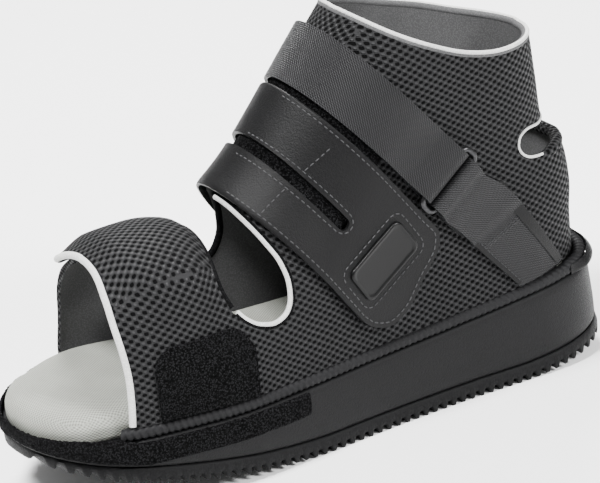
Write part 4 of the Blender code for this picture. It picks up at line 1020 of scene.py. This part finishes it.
# %% Welt
def make_welt():
    start = 90 / 100
    stations = start * round_stations(2400)[:0:-1]
    stations = np.concatenate([stations, [1e-9], -stations[::-1]])
    centre = -0.4 * MM - WELT_WIDTH / 2
    middle = side_path(stations, centre, lambda s: seat(s) + CLEARANCE + WELT_HEIGHT / 2)
    run = np.append(0, np.cumsum(np.linalg.norm(np.diff(middle, axis=0), axis=1)))
    pitch = 3.1 * MM
    even = np.linspace(0, run[-1], int(run[-1] / pitch) * 8)
    stations = np.interp(even, run, stations)
    run = even
    around = 16
    lines = []
    for turn in np.linspace(0, 2 * math.pi, around + 1)[:-1]:
        slant = 2 * math.pi * run / pitch + 2.2 * abs(math.sin(turn)) * math.copysign(1, math.sin(turn))
        full = 1 + 0.10 * np.cos(slant) - 0.16 * math.exp(-(math.sin(turn) / 0.22) ** 2) * (math.cos(turn) > 0)
        lines.append(side_path(stations, centre + WELT_WIDTH / 2 * full * math.cos(turn),
                               lambda s, f=full, t=turn: seat(s) + CLEARANCE
                               + WELT_HEIGHT / 2 * (1 + 1.1 * f * math.sin(t))))
    rings = list(np.stack(lines, axis=1))
    return loft("welt_seam", rings, flat_ends=False, sharp=80)


keep(make_welt(), thread_cloth, "overlock_thread", "welt")

# %% [markdown]
# ## Insole
# A crowned foam cushion in a fine pale knit. Its dome comes from a table of insets and
# heights, and more rings than in the solid make it round.

# %% Insole
def make_insole():
    stations = round_stations(90)
    sides = ((0, 9.5), (10, 8.0), (40, 7.2), (82, 7.8), (91.5, 7.8), (94, 3.6), (96, 2.2), (100, 1.8))
    dome = np.array(((0.4, 0), (0, 14), (0, 42), (1.6, 70), (5.2, 89), (13.0, 100)))
    fine = np.linspace(0, 5, 21)
    rings = []
    for inward, up_share in zip(np.interp(fine, range(6), dome[:, 0]), smooth(range(6), dome[:, 1], fine)):
        inward = smooth(range(6), dome[:, 0], fine)[len(rings)]

        def side_in(s):
            return smooth(column(sides, 0, PERCENT_LENGTH), column(sides, 1, MM), s) + inward * MM

        heel_in, toe_in = side_in(0.0), side_in(SOLE_LENGTH)
        s = heel_in + stations * (SOLE_LENGTH - heel_in - toe_in)
        z = seat(s) + CLEARANCE + INSOLE_HEIGHT * up_share / 100
        outer = place(outline(s, 1, heel_in, toe_in, side_in(s)), s, z)
        inner = place(-outline(s, -1, heel_in, toe_in, side_in(s)), s, z)
        rings.append(np.concatenate([outer, inner[-2:0:-1]]))
    return loft("insole_cushion", rings, sharp=60)


keep(make_insole(), insole_cloth, "insole_knit", "insole")

# %% [markdown]
# ## Upper
# One thick spacer mesh wraps the foot. A grid of section lines fans out from the crest to
# the sole and up the heel, Solidify gives it its wall, with the lining as second finish,
# and the cutters open toe, throat, collar and heel slot.

# %% Upper: section lines
FAN_STEPS = 7
SECTION_STEPS = 34
def section_lines():
    """Ends of the upper's section lines: on the crest, and on the sole or up the heel."""
    sole = np.array(FAN_SOLE, float)
    heel = np.array(FAN_HEEL, float)
    fine = np.linspace(0, len(sole) - 1, (len(sole) - 1) * FAN_STEPS + 1)
    index = np.arange(len(sole))
    crest = list(smooth(index, sole[:, 0], fine))
    s = list(smooth(index, sole[:, 1] * PERCENT_LENGTH, fine))
    ends = [(a, upper_edge(a)) for a in s]
    corner = upper_edge(0.0)
    crest.append((crest[-1] + heel[0, 0]) / 2)
    ends.append((back_line(corner), corner))
    fine = np.linspace(0, len(heel) - 1, (len(heel) - 1) * FAN_STEPS + 1)
    index = np.arange(len(heel))
    crest += list(smooth(index, heel[:, 0], fine))
    heights = seat(0.0) + smooth(index, heel[:, 1] * PERCENT_HEIGHT, fine)
    ends += [(back_line(z), z) for z in heights]
    closed = len(heights) + 1
    return at_shares(CREST_LINE, np.array(crest) / 100), np.array(ends, float), closed

# %% Upper: shell
def faces_outward(mesh):
    """True when the faces of the open shell look away from the shoe's inside."""
    return sum(f.normal.x * f.center.x * f.area for f in mesh.polygons) > 0


def make_upper():
    tops, ends, closed = section_lines()
    share = (1 - np.cos(np.linspace(0, math.pi, SECTION_STEPS + 1))) / 2
    s = tops[:, :1] + (ends[:, :1] - tops[:, :1]) * share
    z = tops[:, 1:] + (ends[:, 1:] - tops[:, 1:]) * share
    side = np.ones_like(s)
    side[:, 0] = 0
    side[-closed:, -1] = 0
    grid = np.concatenate([on_upper(-side, s, z)[:, :0:-1], on_upper(side, s, z)], axis=1)
    rows, columns = grid.shape[:2]
    made = skin("upper_mesh", grid.reshape(-1, 3), grid_faces(rows, columns))
    if not faces_outward(made.data):
        made.data.flip_normals()
    made.data.materials.append(mesh_cloth)
    made.data.materials.append(lining_cloth)
    wall = made.modifiers.new("wall", "SOLIDIFY")
    wall.thickness, wall.offset, wall.use_even_offset, wall.use_quality_normals = WALL, -1, True, True
    wall.material_offset = 1
    cut(made, *upper_cutters())
    return made


def upper_cutters():
    """The openings of the upper. Their edges end inside the piping that lines them."""
    reach, blend = BALL_WIDTH, 3 * MM
    back_off = PIPING - 1.0 * MM
    high, toe_front = 2 * UPPER_HEIGHT, SOLE_LENGTH + 20 * MM
    outer_edge = shifted(spots(TOE_EDGE_OUTER), back_off)
    inner_edge = shifted(spots(TOE_EDGE_INNER), -back_off)
    end_edge = shifted(spots(FLAP_END), -back_off)
    front = [(toe_front, outer_edge[-1, 1]), (toe_front, 0.0)]
    outline_out = np.concatenate([outer_edge[::4], outer_edge[-1:], front])
    yield cutter("cut_toe_outer", ((0.0, outline_out), (reach, outline_out)))
    seam = FLAP_SEAM * PERCENT_LENGTH
    low = [(seam, end_edge[-1, 1]), (seam, 0.0), (toe_front, 0.0), (toe_front, inner_edge[0, 1])]
    outline_in = np.concatenate([inner_edge[:-70:4], end_edge[20::4], low])
    yield cutter("cut_toe_inner", ((-reach, outline_in), (0.0, outline_in)))
    outer, inner = (shifted(np.concatenate([spots(THROAT_FRONT)[:-1], spots(table)]), back_off)[::3]
                    for table in (THROAT_LOOP, THROAT_LOOP_INNER))
    yield cutter("cut_throat", ((-reach, inner), (-blend, inner), (blend, outer), (reach, outer)))
    outer, inner = (shifted(spots(table), back_off)[::4] for table in (COLLAR, COLLAR_INNER))
    above = [(outer[-1, 0], high), (outer[0, 0], high)]
    outer, inner = (np.concatenate([line, above]) for line in (outer, inner))
    yield cutter("cut_collar", ((-reach, inner), (-blend, inner), (blend, outer), (reach, outer)))
    slot = shifted(spots(HEEL_SLOT), -SLOT_PIPING + 0.6 * MM)[::3]
    yield cutter("cut_heel_slot", ((-reach, slot), (reach, slot)))


upper = keep(make_upper(), None, "mesh_fabric", "upper")
print("upper faces:", len(upper.data.polygons))

# %% [markdown]
# ## Bound edges and piping
# Cut cloth edges are turned over a soft core and then piped with a thin pale cord on the
# outside. The core is a round cord along the middle of the wall, which covers the cut edge of
# the shell. The piping is a thinner cord that rides on its outer side.

# %% Bound edges and piping
middle, half = -WALL / 2, PIPING / 2


def toe_path(offset, height):
    outer = from_middle(shifted(spots(TOE_EDGE_OUTER)[::-1], -offset), 60)
    outer = outer[outer[:, 1] > upper_edge(outer[:, 0])]
    flap_edge = np.concatenate([spots(TOE_EDGE_INNER)[:-1], spots(FLAP_END)])
    inner = from_middle(shifted(flap_edge, -offset), 90)
    inner = inner[inner[:, 0] > band_front[-1, 0] + PIPING]
    return on_upper(*across(outer, inner), height)


def throat_path(offset, height):
    loops = [from_middle(shifted(spots(table)[::-1], -offset), 90)[:-1]
             for table in (THROAT_LOOP, THROAT_LOOP_INNER)]
    return on_upper(*across(*loops), height)


def throat_outer(offset, height):
    line = from_middle(shifted(spots(THROAT_LOOP)[::-1], -offset), 90)[:-1]
    return on_upper(1, line[:, 0], line[:, 1], height)


def collar_path(offset, height):
    lines = [middle_to_middle(shifted(spots(table), offset), 80) for table in (COLLAR, COLLAR_INNER)]
    return closed_path(*lines, height)


def slot_path(offset, height):
    line = middle_to_middle(shifted(spots(HEEL_SLOT), -offset), 90)
    return closed_path(line, line, height)


band_front = from_middle(shifted(spots(THROAT_FRONT), half), 50)[:-1]
keep(cord("band_edge", on_upper(*across(band_front, band_front), middle), PIPING - 0.4 * MM),
     dark_cloth, "dark_edge", "band_rear_binding")
keep(cord("toe_core", toe_path(half + 0.2 * MM, middle), PIPING - 0.4 * MM), dark_cloth, "dark_edge", "toe_binding")
keep(cord("toe_piping", toe_path(half - 0.4 * MM, -0.9 * MM), 3.3 * MM), piping_cloth, "piping")
keep(cord("throat_core", throat_path(half + 0.3 * MM, middle), PIPING - 0.5 * MM), dark_cloth, "dark_edge",
     "throat_binding")
keep(cord("throat_piping", throat_outer(half - 0.8 * MM, -0.7 * MM), 2.3 * MM), piping_cloth, "piping")
keep(cord("collar_core", collar_path(half + 0.3 * MM, middle), PIPING - 0.5 * MM, True), lining_cloth,
     "dark_edge", "collar_binding")
keep(cord("collar_piping", collar_path(half - 0.9 * MM, -0.5 * MM), 1.9 * MM, True), piping_cloth, "piping")
keep(cord("slot_core", slot_path(SLOT_PIPING / 2 + 0.1 * MM, middle), SLOT_PIPING, True), dark_cloth,
     "dark_edge", "slot_binding")
slot_line = middle_to_middle(shifted(spots(HEEL_SLOT), -SLOT_PIPING / 2 + 0.4 * MM), 120)
on_low = np.arange(len(slot_line)) < slot_line[:, 0].argmax()
piped_line = slot_line[~on_low | (slot_line[:, 0] > 10 * PERCENT_LENGTH)]
piped_sides = [on_upper(side, piped_line[:, 0], piped_line[:, 1], -0.4 * MM) for side in (1, -1)]
keep(cord("slot_piping", np.concatenate([piped_sides[0][:-1], piped_sides[1][::-1]]), 1.3 * MM),
     piping_cloth, "piping")
roll_line = slot_line[on_low & (slot_line[:, 0] < 14 * PERCENT_LENGTH)][::-1]
roll_sides = [on_upper(side, roll_line[:, 0], roll_line[:, 1] - 1.2 * MM, middle) for side in (1, -1)]
roll = np.concatenate([roll_sides[0][:-1], roll_sides[1][::-1]])
roll_width = 2.2 * MM + 3.6 * MM * ease(np.minimum(np.arange(len(roll)), np.arange(len(roll))[::-1]) / 30)
keep(cord("heel_roll", roll, roll_width), mesh_cloth, "mesh_fabric")

# %% [markdown]
# ## Inner toe flap
# Under the toe flap lies a second flap that is sewn to the inner side and reaches over the
# toes. It is the same mesh, as a sheet between two heights under the upper.

# %% Inner toe flap
def make_inner_flap():
    steps = 46
    paths = []
    for t in np.linspace(0, 1, 34):
        line = spots(UNDER_REAR) * (1 - t) + spots(UNDER_FRONT) * t
        inner = from_middle(line, steps)
        limit = seat(inner[:, 0]) + UNDER_OUTER_END * PERCENT_HEIGHT
        end = np.interp(0, limit - inner[:, 1], 1 - np.cos(np.linspace(0, math.pi / 2, steps + 1)))
        outer = at_shares(trimmed(line), end * (1 - np.cos(np.linspace(0, math.pi / 2, 30))))
        paths.append(across(outer, inner))
    side, s, z = (np.stack([path[k] for path in paths]) for k in range(3))
    drop = np.where(side < 0, ease((z - upper_edge(s)) / (24 * MM)), 1.0)
    top = -(WALL + 5 * CLEARANCE) * drop
    return cloth("inner_flap", on_upper(side, s, z, top), on_upper(side, s, z, top - WALL * 0.85))


keep(make_inner_flap(), mesh_cloth, "mesh_fabric", "inner_toe_flap").data.materials.append(lining_cloth)

# %% [markdown]
# ## Hook patch and loop panel
# Both are fuzzy cloths laid on the mesh. Each is a sheet over a grid of side view points,
# raised along the surface's normal, and then ruffled.

# %% Hook patch
def overlay(name, side, s, z, lift, thickness, sharp=60):
    return cloth(name, on_upper(side, s, z, lift + thickness), on_upper(side, s, z, lift), sharp)


def make_patch():
    first, last = (share * PERCENT_LENGTH for share in PATCH_ENDS)
    s = first + (last - first) * round_stations(70)
    top_line = spots(PATCH_TOP)[::-1]
    top = smooth(top_line[:, 0], top_line[:, 1], s)
    inset = np.clip(PATCH_CORNER - np.minimum(s - first, last - s), 0, None)
    top = top - (PATCH_CORNER - np.sqrt(PATCH_CORNER ** 2 - inset ** 2))
    low = upper_edge(s) + 0.6 * MM
    z = low + (top - low) * np.linspace(0, 1, 40)[:, None]
    made = overlay("patch_cloth", 1, np.broadcast_to(s, z.shape), z, 0.0, PATCH_THICKNESS)
    ruffle(made, 0.2 * MM, seed=5)
    return made


keep(make_patch(), fuzzy_cloth, "loop_fabric", "hook_patch")


# %% Loop panel
def make_panel():
    paths = []
    for t in np.linspace(0, 1, 60):
        line = from_middle(spots(PANEL_LOW) * (1 - t) + spots(PANEL_UP) * t, 46)
        paths.append(across(line, line))
    side, s, z = (np.stack([path[k] for path in paths]) for k in range(3))
    made = overlay("panel_cloth", side, s, z, 0.0, PANEL_THICKNESS)
    ruffle(made, 0.15 * MM, seed=7)
    return made


keep(make_panel(), fuzzy_cloth, "loop_fabric", "loop_panel")

# %% [markdown]
# ## Heel lip
# The foam of the wedge rises behind the heel as a smooth lip outside the welt.

# %% Heel lip
def make_heel_lip():
    stations = 7.5 / 100 * np.sin(np.linspace(-math.pi / 2, math.pi / 2, 81))
    stations[40] = 1e-9
    rows = np.linspace(0, 1, 12)
    stand = smooth((0, 0.25, 0.5, 0.8, 1), (0.7, 1.0, 0.85, 0.4, 0.0), rows)

    def layer(full):
        fade = 1 - ease((np.abs(stations) / 0.075 - 0.6) / 0.4)
        return np.stack([side_path(stations, (fade - 1) * 0.5 * MM + (CLEARANCE + out * HEEL_LIP * full) * fade
                                   + 0.1 * MM * full,
                                   lambda s, up_share=up_share: seat(s) + up_share * WELT_HEIGHT * 0.9)
                         for up_share, out in zip(rows, stand)])

    return cloth("heel_lip", layer(1), layer(-0.3), sharp=80)


keep(make_heel_lip(), sole_foam, "sole_foam", "heel_cup")

# %% [markdown]
# ## Double strap
# Two straps come over the instep and meet in one tab, so they are one piece of synthetic
# leather with a slot cut between them. Rows of stitches run round the tab and the slot.

# %% Double strap
OVER_PANEL = PANEL_THICKNESS + 3.5 * CLEARANCE


def under_strap(t):
    """Height of a strap's underside: over the loop panel first, then down on the mesh.

    Past the panel the hook tape under the tab fills the difference.
    """
    return OVER_PANEL + (CLEARANCE - OVER_PANEL) * ease((t - 0.58) / 0.2)


def strap_grid():
    """Side, s and z of the strap's grid, from its front edge to its rear edge."""
    fine = np.linspace(0, len(TAB) - 1, 50)
    table = np.array(TAB, float)
    table = np.stack([smooth(range(len(TAB)), table[:, k], fine) for k in range(4)], axis=1)
    starts, ends = spots(table[:, :2]), spots(table[:, 2:])
    share = 1 - np.cos(np.linspace(0, math.pi / 2, 61))
    inner_ends = np.linspace(ends[0], ends[-1], len(ends)) + np.array([3.0, 6.0]) * MM
    paths = []
    for start, end, inner_end in zip(starts, ends, inner_ends):
        outer = at_shares(trimmed(np.array([start, (start + end) / 2, end])), share)
        inner = at_shares(trimmed(np.array([start, (start + inner_end) / 2, inner_end])), share)
        paths.append(across(outer, inner))
    under = under_strap(np.abs(np.concatenate([share[:0:-1], share])))
    return *(np.stack([path[k] for path in paths]) for k in range(3)), under


STRAP_TOP = OVER_PANEL + STRAP_THICKNESS


def make_double_strap():
    side, s, z, under = strap_grid()
    soft = np.minimum(np.arange(50), np.arange(49, -1, -1))[:, None]
    top = STRAP_TOP - 0.5 * MM * np.clip(1 - soft / 2, 0, 1) ** 2
    strap = cloth("double_strap_leather", on_upper(side, s, z, top), on_upper(side, s, z, under), sharp=50)
    tip, root = spots((STRAP_SLOT_END, STRAP_SLOT_TOP))
    way = (tip - root) / np.linalg.norm(tip - root)
    cutters = []
    for name, end, x_from, x_to in (("cut_slot", tip, -MM, BALL_WIDTH),
                                    ("cut_split", tip + way * 60 * MM, -BALL_WIDTH, MM)):
        turn = np.linspace(-math.pi / 2, math.pi / 2, 25)[:, None]
        normal = np.array([-way[1], way[0]])
        nose = end + STRAP_SLOT / 2 * (np.cos(turn) * way + np.sin(turn) * normal - way)
        tail = np.array([root + STRAP_SLOT / 2 * normal, root - STRAP_SLOT / 2 * normal])
        line = np.concatenate([nose, tail])
        cutters.append(cutter(name, ((x_from, line), (x_to, line))))
    cut(strap, *cutters)
    return strap, (side, s, z), (tip, root, way)


strap, (strap_side, strap_s, strap_z), (slot_tip, slot_root, slot_way) = make_double_strap()
keep(strap, strap_leather, "synthetic_leather", "double_strap")

# %% Strap stitches
def on_strap(line, lift=STRAP_TOP):
    """A side view line on the strap's outer face, without the part that leaves the shoe."""
    line = trimmed(line)
    return on_upper(1, line[:, 0], line[:, 1], lift + 0.05 * MM)


outer_half = slice(strap_s.shape[1] // 2, None)
front_row, rear_row = (np.stack([strap_s[k, outer_half], strap_z[k, outer_half]], axis=1) for k in (0, -1))
end_row = np.stack([strap_s[:, -1], strap_z[:, -1]], axis=1)
tab_edge = np.concatenate([front_row[:-1], end_row[:-1], rear_row[::-1]])
seam_rows = [on_strap(shifted(dense(tab_edge, 400), 2.2 * MM * sign)[1:-1]) for sign in (-1,)]
slot_normal = np.array([-slot_way[1], slot_way[0]])
turn = np.linspace(-math.pi / 2, math.pi / 2, 30)[:, None]
gap = STRAP_SLOT / 2 + 2.0 * MM
nose = slot_tip - slot_way * STRAP_SLOT / 2 + gap * (np.cos(turn) * slot_way + np.sin(turn) * slot_normal)
slot_seam = np.concatenate([[slot_root - gap * slot_normal], nose, [slot_root + gap * slot_normal]])
seam_rows.append(on_strap(slot_seam))
joint = slot_tip - slot_way * 26 * MM
for sign in (-1, 1):
    start = joint + slot_normal * sign * (STRAP_SLOT / 2 + 2.5 * MM)
    seam_rows.append(on_strap(np.array([start, start + slot_normal * sign * 9 * MM,
                                        start + slot_normal * sign * 17 * MM])))
keep(stitches("strap_stitches", seam_rows), thread_light, "synthetic_leather")

# %% [markdown]
# ## Badge place
# On the tab sits a raised plate inside a stitched rounded rectangle. It is left bare.

# %% Badge
def rounded(length, width, corner, count=60):
    """A closed rounded rectangle, as ways along and across its middle."""
    points = []
    for quarter, (a, b) in enumerate(((1, 1), (-1, 1), (-1, -1), (1, -1))):
        for t in np.linspace(quarter, quarter + 1, count // 4) * math.pi / 2:
            points.append((a * (length / 2 - corner) + corner * math.cos(t),
                           b * (width / 2 - corner) + corner * math.sin(t)))
    return np.array(points)


badge_middle = spots((BADGE_CENTRE,))[0]
tilt = math.radians(BADGE_TILT)
badge_long = np.array([math.cos(tilt), math.sin(tilt)])
badge_short = np.array([-badge_long[1], badge_long[0]])


def on_tab(ways, lift):
    point = badge_middle + ways[..., :1] * badge_long + ways[..., 1:] * badge_short
    return on_upper(1, point[..., 0], point[..., 1], lift)


def make_badge():
    """A plate with a rounded rim, as rings that shrink towards its middle."""
    rings = []
    for inset, rise in ((0, 0.0), (0, 0.6), (0.25, 0.9), (0.7, 1.0), (1.2, 0.92), (1.7, 0.7), (2.2, 0.66)):
        edge = rounded(BADGE_LENGTH - 2 * inset * MM, BADGE_WIDTH - 2 * inset * MM, 3.4 * MM)
        rings.append(on_tab(edge, STRAP_TOP + BADGE_THICKNESS * rise))
    return loft("badge_plate_bare", rings, flat_ends=False, sharp=50)


keep(make_badge(), plate_rubber, "badge_plastic", "badge_plate")
frame_line = rounded(BADGE_LENGTH + 6 * MM, BADGE_WIDTH + 6 * MM, 5 * MM)
frame_line = on_tab(np.concatenate([frame_line, frame_line[:1]]), STRAP_TOP + 0.05 * MM)
keep(stitches("badge_stitches", [frame_line]), thread_light, "synthetic_leather")

# %% [markdown]
# ## Ring
# A flat metal loop joins ankle strap and anchor. It lies in a flat frame of its own, which is
# taken from the surface of the upper below it.

# %% Ring
def ring_place():
    """The ring in the side view: its centre, the way down the strap and across it."""
    centre, low, up = spots((RING_CENTRE, STRAP_LOW[0], STRAP_UP[0]))
    way = centre - (low + up) / 2
    way /= np.linalg.norm(way)
    return centre, way, np.array([way[1], -way[0]])


def ring_frame():
    """Centre and axes of the ring: along it, along the strap and away from the upper."""
    centre, way, along = ring_place()
    middle = on_upper(1, centre[0], centre[1])
    ahead = on_upper(1, *(centre + along * 5 * MM)) - on_upper(1, *(centre - along * 5 * MM))
    out = on_upper(1, centre[0], centre[1], MM) - middle
    along_3d = ahead / np.linalg.norm(ahead)
    out = out / np.linalg.norm(out)
    cross = np.cross(out, along_3d)
    return middle, along_3d, cross / np.linalg.norm(cross), out


def bar_height():
    """Height of the ring's middle above the upper: a folded strap lies under its bar."""
    return 3 * CLEARANCE + STRAP_THICKNESS + RING_WIRE / 2


def make_ring():
    centre, along, cross, out = ring_frame()
    half_length, half_width = RING_LENGTH / 2 - RING_WIRE / 2, RING_WIDTH / 2 - RING_WIRE / 2
    line = rounded(2 * half_length, 2 * half_width, RING_CORNER, 64)
    points = centre + line[:, :1] * along + line[:, 1:] * cross + bar_height() * out
    keep_points = np.linalg.norm(points - np.roll(points, 1, 0), axis=1) > 0.01 * MM
    return cord("ring_wire", points[keep_points], RING_WIRE, True, around=16)


keep(make_ring(), ring_paint, "ring_metal", "ring_buckle")

# %% [markdown]
# ## Webbing
# Ankle strap and anchor are flat woven tape, folded round the ring. The path is built with
# few points, as a maker would mark it, and then refined into a smooth sheet.

# %% Webbing
def fold(start, length):
    """Centre line of webbing round a bar and back under itself.

    Columns are the way past the bar and the height over the upper.
    """
    radius = RING_WIRE / 2 + CLEARANCE + STRAP_THICKNESS / 2
    turns = np.linspace(math.pi / 2, -math.pi / 2, 6)
    centre = bar_height()
    round_bar = np.stack([radius * np.cos(turns), centre + radius * np.sin(turns)], axis=1)
    tail = np.array([(-length, centre - radius)])
    return np.concatenate([start, round_bar, tail])


def refined(grid, rows, columns):
    """A finer grid through the points of a coarse one."""
    for axis, count in ((0, rows), (1, columns)):
        size = grid.shape[axis]
        lines = np.moveaxis(grid, axis, 0).reshape(size, -1)
        fine = np.linspace(0, size - 1, count)
        lines = np.stack([smooth(range(size), lines[:, k], fine) for k in range(lines.shape[1])], axis=1)
        shape = list(np.moveaxis(grid, axis, 0).shape)
        grid = np.moveaxis(lines.reshape([count] + shape[1:]), 0, axis)
    return grid


def make_webbing(name, side, lines, heights, loop, way):
    """Flat webbing along a path, ending in a fold round a bar of the ring.

    Lines holds its two edges as grids of s and z. Heights are those of its centre line.
    Way is the direction in the side view in which it meets the bar.
    """
    flat = len(side)
    centre, down, normal = ring_place()
    middle, along, cross, out = ring_frame()
    if np.dot(on_upper(1, *(centre + down * MM)) - on_upper(1, *centre), cross) < 0:
        cross = -cross
    rows_outer, rows_inner = [], []
    for t in np.linspace(0, 1, 4):
        line = lines[0] * (1 - t) + lines[1] * t
        end = line[-1]
        run = np.cumsum(np.append(0, np.linalg.norm(np.diff(line, axis=0), axis=1)))
        u = np.concatenate([run[:-1] - run[-1], loop[:, 0]])
        h = np.concatenate([heights[:-1], loop[:, 1]])
        tangent = np.stack([np.gradient(u), np.gradient(h)], axis=1)
        tangent /= np.linalg.norm(tangent, axis=1)[:, None]
        for rows, sign in ((rows_outer, 1), (rows_inner, -1)):
            du = -tangent[:, 1] * sign * STRAP_THICKNESS / 2
            dh = tangent[:, 0] * sign * STRAP_THICKNESS / 2
            near = np.concatenate([line[:-1], end + way * loop[:, :1]])
            near = near + way * np.where(np.arange(len(u)) > flat - 6, du, 0)[:, None]
            sides = np.concatenate([side[:-1], np.ones(len(loop))])
            on_skin = on_upper(sides, near[:, 0], near[:, 1], h + dh)
            a, b = (near - centre) @ normal, (near - centre) @ down
            at_ring = middle + a[:, None] * along + b[:, None] * cross + (h + dh)[:, None] * out
            share = ease((u + 24 * MM) / (16 * MM))[:, None]
            rows.append(on_skin * (1 - share) + at_ring * share)
    return cloth(name, *(refined(np.array(rows), 14, 150) for rows in (rows_outer, rows_inner)), sharp=60)


def make_ankle_strap():
    """The webbing strap over the instep, from the inner side of the heel to the ring."""
    centre, way, normal = ring_place()
    bar = RING_WIDTH / 2 - RING_WIRE / 2
    lines, side = [], None
    half = RING_LENGTH / 2 - RING_WIRE - CLEARANCE * 3
    for edge, anchor, sign in ((STRAP_LOW, ANCHOR_LOW, -1), (STRAP_UP, ANCHOR_UP, 1)):
        points = spots(edge)
        points[-1] = centre - way * bar + normal * half * sign
        inner = np.concatenate([points[:-1], spots(anchor)[1:]])
        side, s, z = across(from_middle(points, 12), from_middle(inner, 12))
        lines.append(np.stack([s, z], axis=1))
    share = 1 - np.cos(np.linspace(0, math.pi / 2, 13))
    low = CLEARANCE + STRAP_THICKNESS / 2
    over_panel = low + PANEL_THICKNESS + 2.5 * CLEARANCE
    over_fold = low + STRAP_THICKNESS + 2 * CLEARANCE
    inner = over_panel + (low - over_panel) * ease((share - 0.45) / 0.2)
    outer = over_panel + (over_fold - over_panel) * ease((share - 0.45) / 0.2)
    heights = np.concatenate([inner[:0:-1], outer])
    top = bar_height() + RING_WIRE / 2 + CLEARANCE + STRAP_THICKNESS / 2
    rise = np.array([(-15 * MM, over_fold), (-10 * MM, over_fold + (top - over_fold) * 0.3),
                     (-5 * MM, over_fold + (top - over_fold) * 0.75)])
    kept = np.linalg.norm(lines[0] - lines[0][-1], axis=1) > 20 * MM
    kept[:len(inner)] = True
    kept[-1] = True
    lines = [line[kept] for line in lines]
    return make_webbing("ankle_webbing", side[kept], lines, heights[kept], fold(rise, 12 * MM), way)


def make_anchor_strap():
    """The webbing sewn low on the outer side of the heel, folded round the ring."""
    centre, strap_way, normal = ring_place()
    bar = RING_WIDTH / 2 - RING_WIRE / 2
    half = RING_LENGTH / 2 - RING_WIRE - CLEARANCE * 3
    lines = []
    for edge, sign in ((ANCHOR_LOW, -1), (ANCHOR_UP, 1)):
        points = spots(edge)
        points[0] = centre + strap_way * bar + normal * half * sign
        line = at_shares(dense(points), np.linspace(0, 1, 9))
        lines.append(line[::-1])
    top = bar_height() + RING_WIRE / 2 + CLEARANCE + STRAP_THICKNESS / 2
    low = CLEARANCE + STRAP_THICKNESS / 2
    over_fold = low + STRAP_THICKNESS + 2 * CLEARANCE
    heights = np.array([low, low, low, low, low, over_fold, over_fold, over_fold, over_fold])
    rise = np.array([(-10 * MM, over_fold), (-6.5 * MM, over_fold + (top - over_fold) * 0.35),
                     (-3 * MM, over_fold + (top - over_fold) * 0.85)])
    kept = np.linalg.norm(lines[0] - lines[0][-1], axis=1) > 13 * MM
    kept[-1] = True
    lines = [line[kept] for line in lines]
    return make_webbing("anchor_webbing", np.ones(kept.sum()), lines, heights[kept],
                        fold(rise, 20 * MM), -strap_way)


keep(make_ankle_strap(), webbing_cloth, "webbing", "ankle_strap")
keep(make_anchor_strap(), webbing_cloth, "webbing", "anchor_strap")

# %% Seams of the anchor
anchor_top = CLEARANCE + STRAP_THICKNESS + 0.05 * MM
low_edge, high_edge = (dense(spots(edge)) for edge in (ANCHOR_LOW, ANCHOR_UP))
anchor_seams = []
for share in (0.09, 0.86):
    line = (low_edge * (1 - share) + high_edge * share)[70:-8]
    anchor_seams.append(on_upper(1, line[:, 0], line[:, 1], anchor_top))
for at in (0.56, 0.575):
    line = low_edge[int(at * 240)] + (high_edge - low_edge)[int(at * 240)] * np.linspace(0.06, 0.94, 40)[:, None]
    anchor_seams.append(on_upper(1, line[:, 0], line[:, 1], anchor_top))
for name, first, last in (("anchor_low_edge", 0.0, 0.075), ("anchor_high_edge", 0.83, 1.0)):
    shares = np.linspace(first, last, 8)[:, None, None]
    lines = (low_edge * (1 - shares) + high_edge * shares)[:, 74:-5:3]
    keep(overlay(name, 1, lines[..., 0], lines[..., 1], anchor_top, 0.35 * MM), strap_leather, "webbing")
keep(stitches("anchor_stitches", anchor_seams, 1.6 * MM, 0.9 * MM, 0.4 * MM), thread_light, "webbing")


# %% [markdown]
# ## Floor and light
# The object stands on a plain pale floor in soft studio light: a large lamp above and in
# front, a weaker one from the other side and one from behind for the rims.

# %% Floor and light
floor_mesh = bpy.data.meshes.new("floor")
floor_mesh.from_pydata([(-3, -3, 0), (3, -3, 0), (3, 3, 0), (-3, 3, 0)], [], [(0, 1, 2, 3)])
floor = bpy.data.objects.new("floor", floor_mesh)
bpy.context.scene.collection.objects.link(floor)
floor_paint = bpy.data.materials.new("floor_paint")
floor_paint.use_nodes = True
floor_paint.node_tree.nodes["Principled BSDF"].inputs["Base Color"].default_value = (0.94, 0.94, 0.94, 1)
floor_paint.node_tree.nodes["Principled BSDF"].inputs["Roughness"].default_value = 0.9
floor_mesh.materials.append(floor_paint)

world = bpy.data.worlds.new("studio")
bpy.context.scene.world = world
world.use_nodes = True
world.node_tree.nodes["Background"].inputs["Color"].default_value = (0.95, 0.95, 0.95, 1)
world.node_tree.nodes["Background"].inputs["Strength"].default_value = 0.55


def lamp(name, place_at, size, power):
    made = bpy.data.objects.new(name, bpy.data.lights.new(name, "AREA"))
    made.data.size, made.data.energy = size, power
    made.location = place_at
    made.rotation_euler = (Vector((0, 0, 0.08)) - Vector(place_at)).to_track_quat("-Z", "Y").to_euler()
    bpy.context.scene.collection.objects.link(made)


lamp("key", (0.2, -0.7, 1.5), 0.4, 80)
lamp("side", (1.2, 0.7, 1.0), 0.4, 46)
lamp("rim", (-0.9, 0.4, 1.2), 0.4, 44)

# %% Triangle counts
for made in pieces.values():
    count = sum(len(p.vertices) - 2 for p in made.data.polygons)
    print(made.name, count, "triangles")
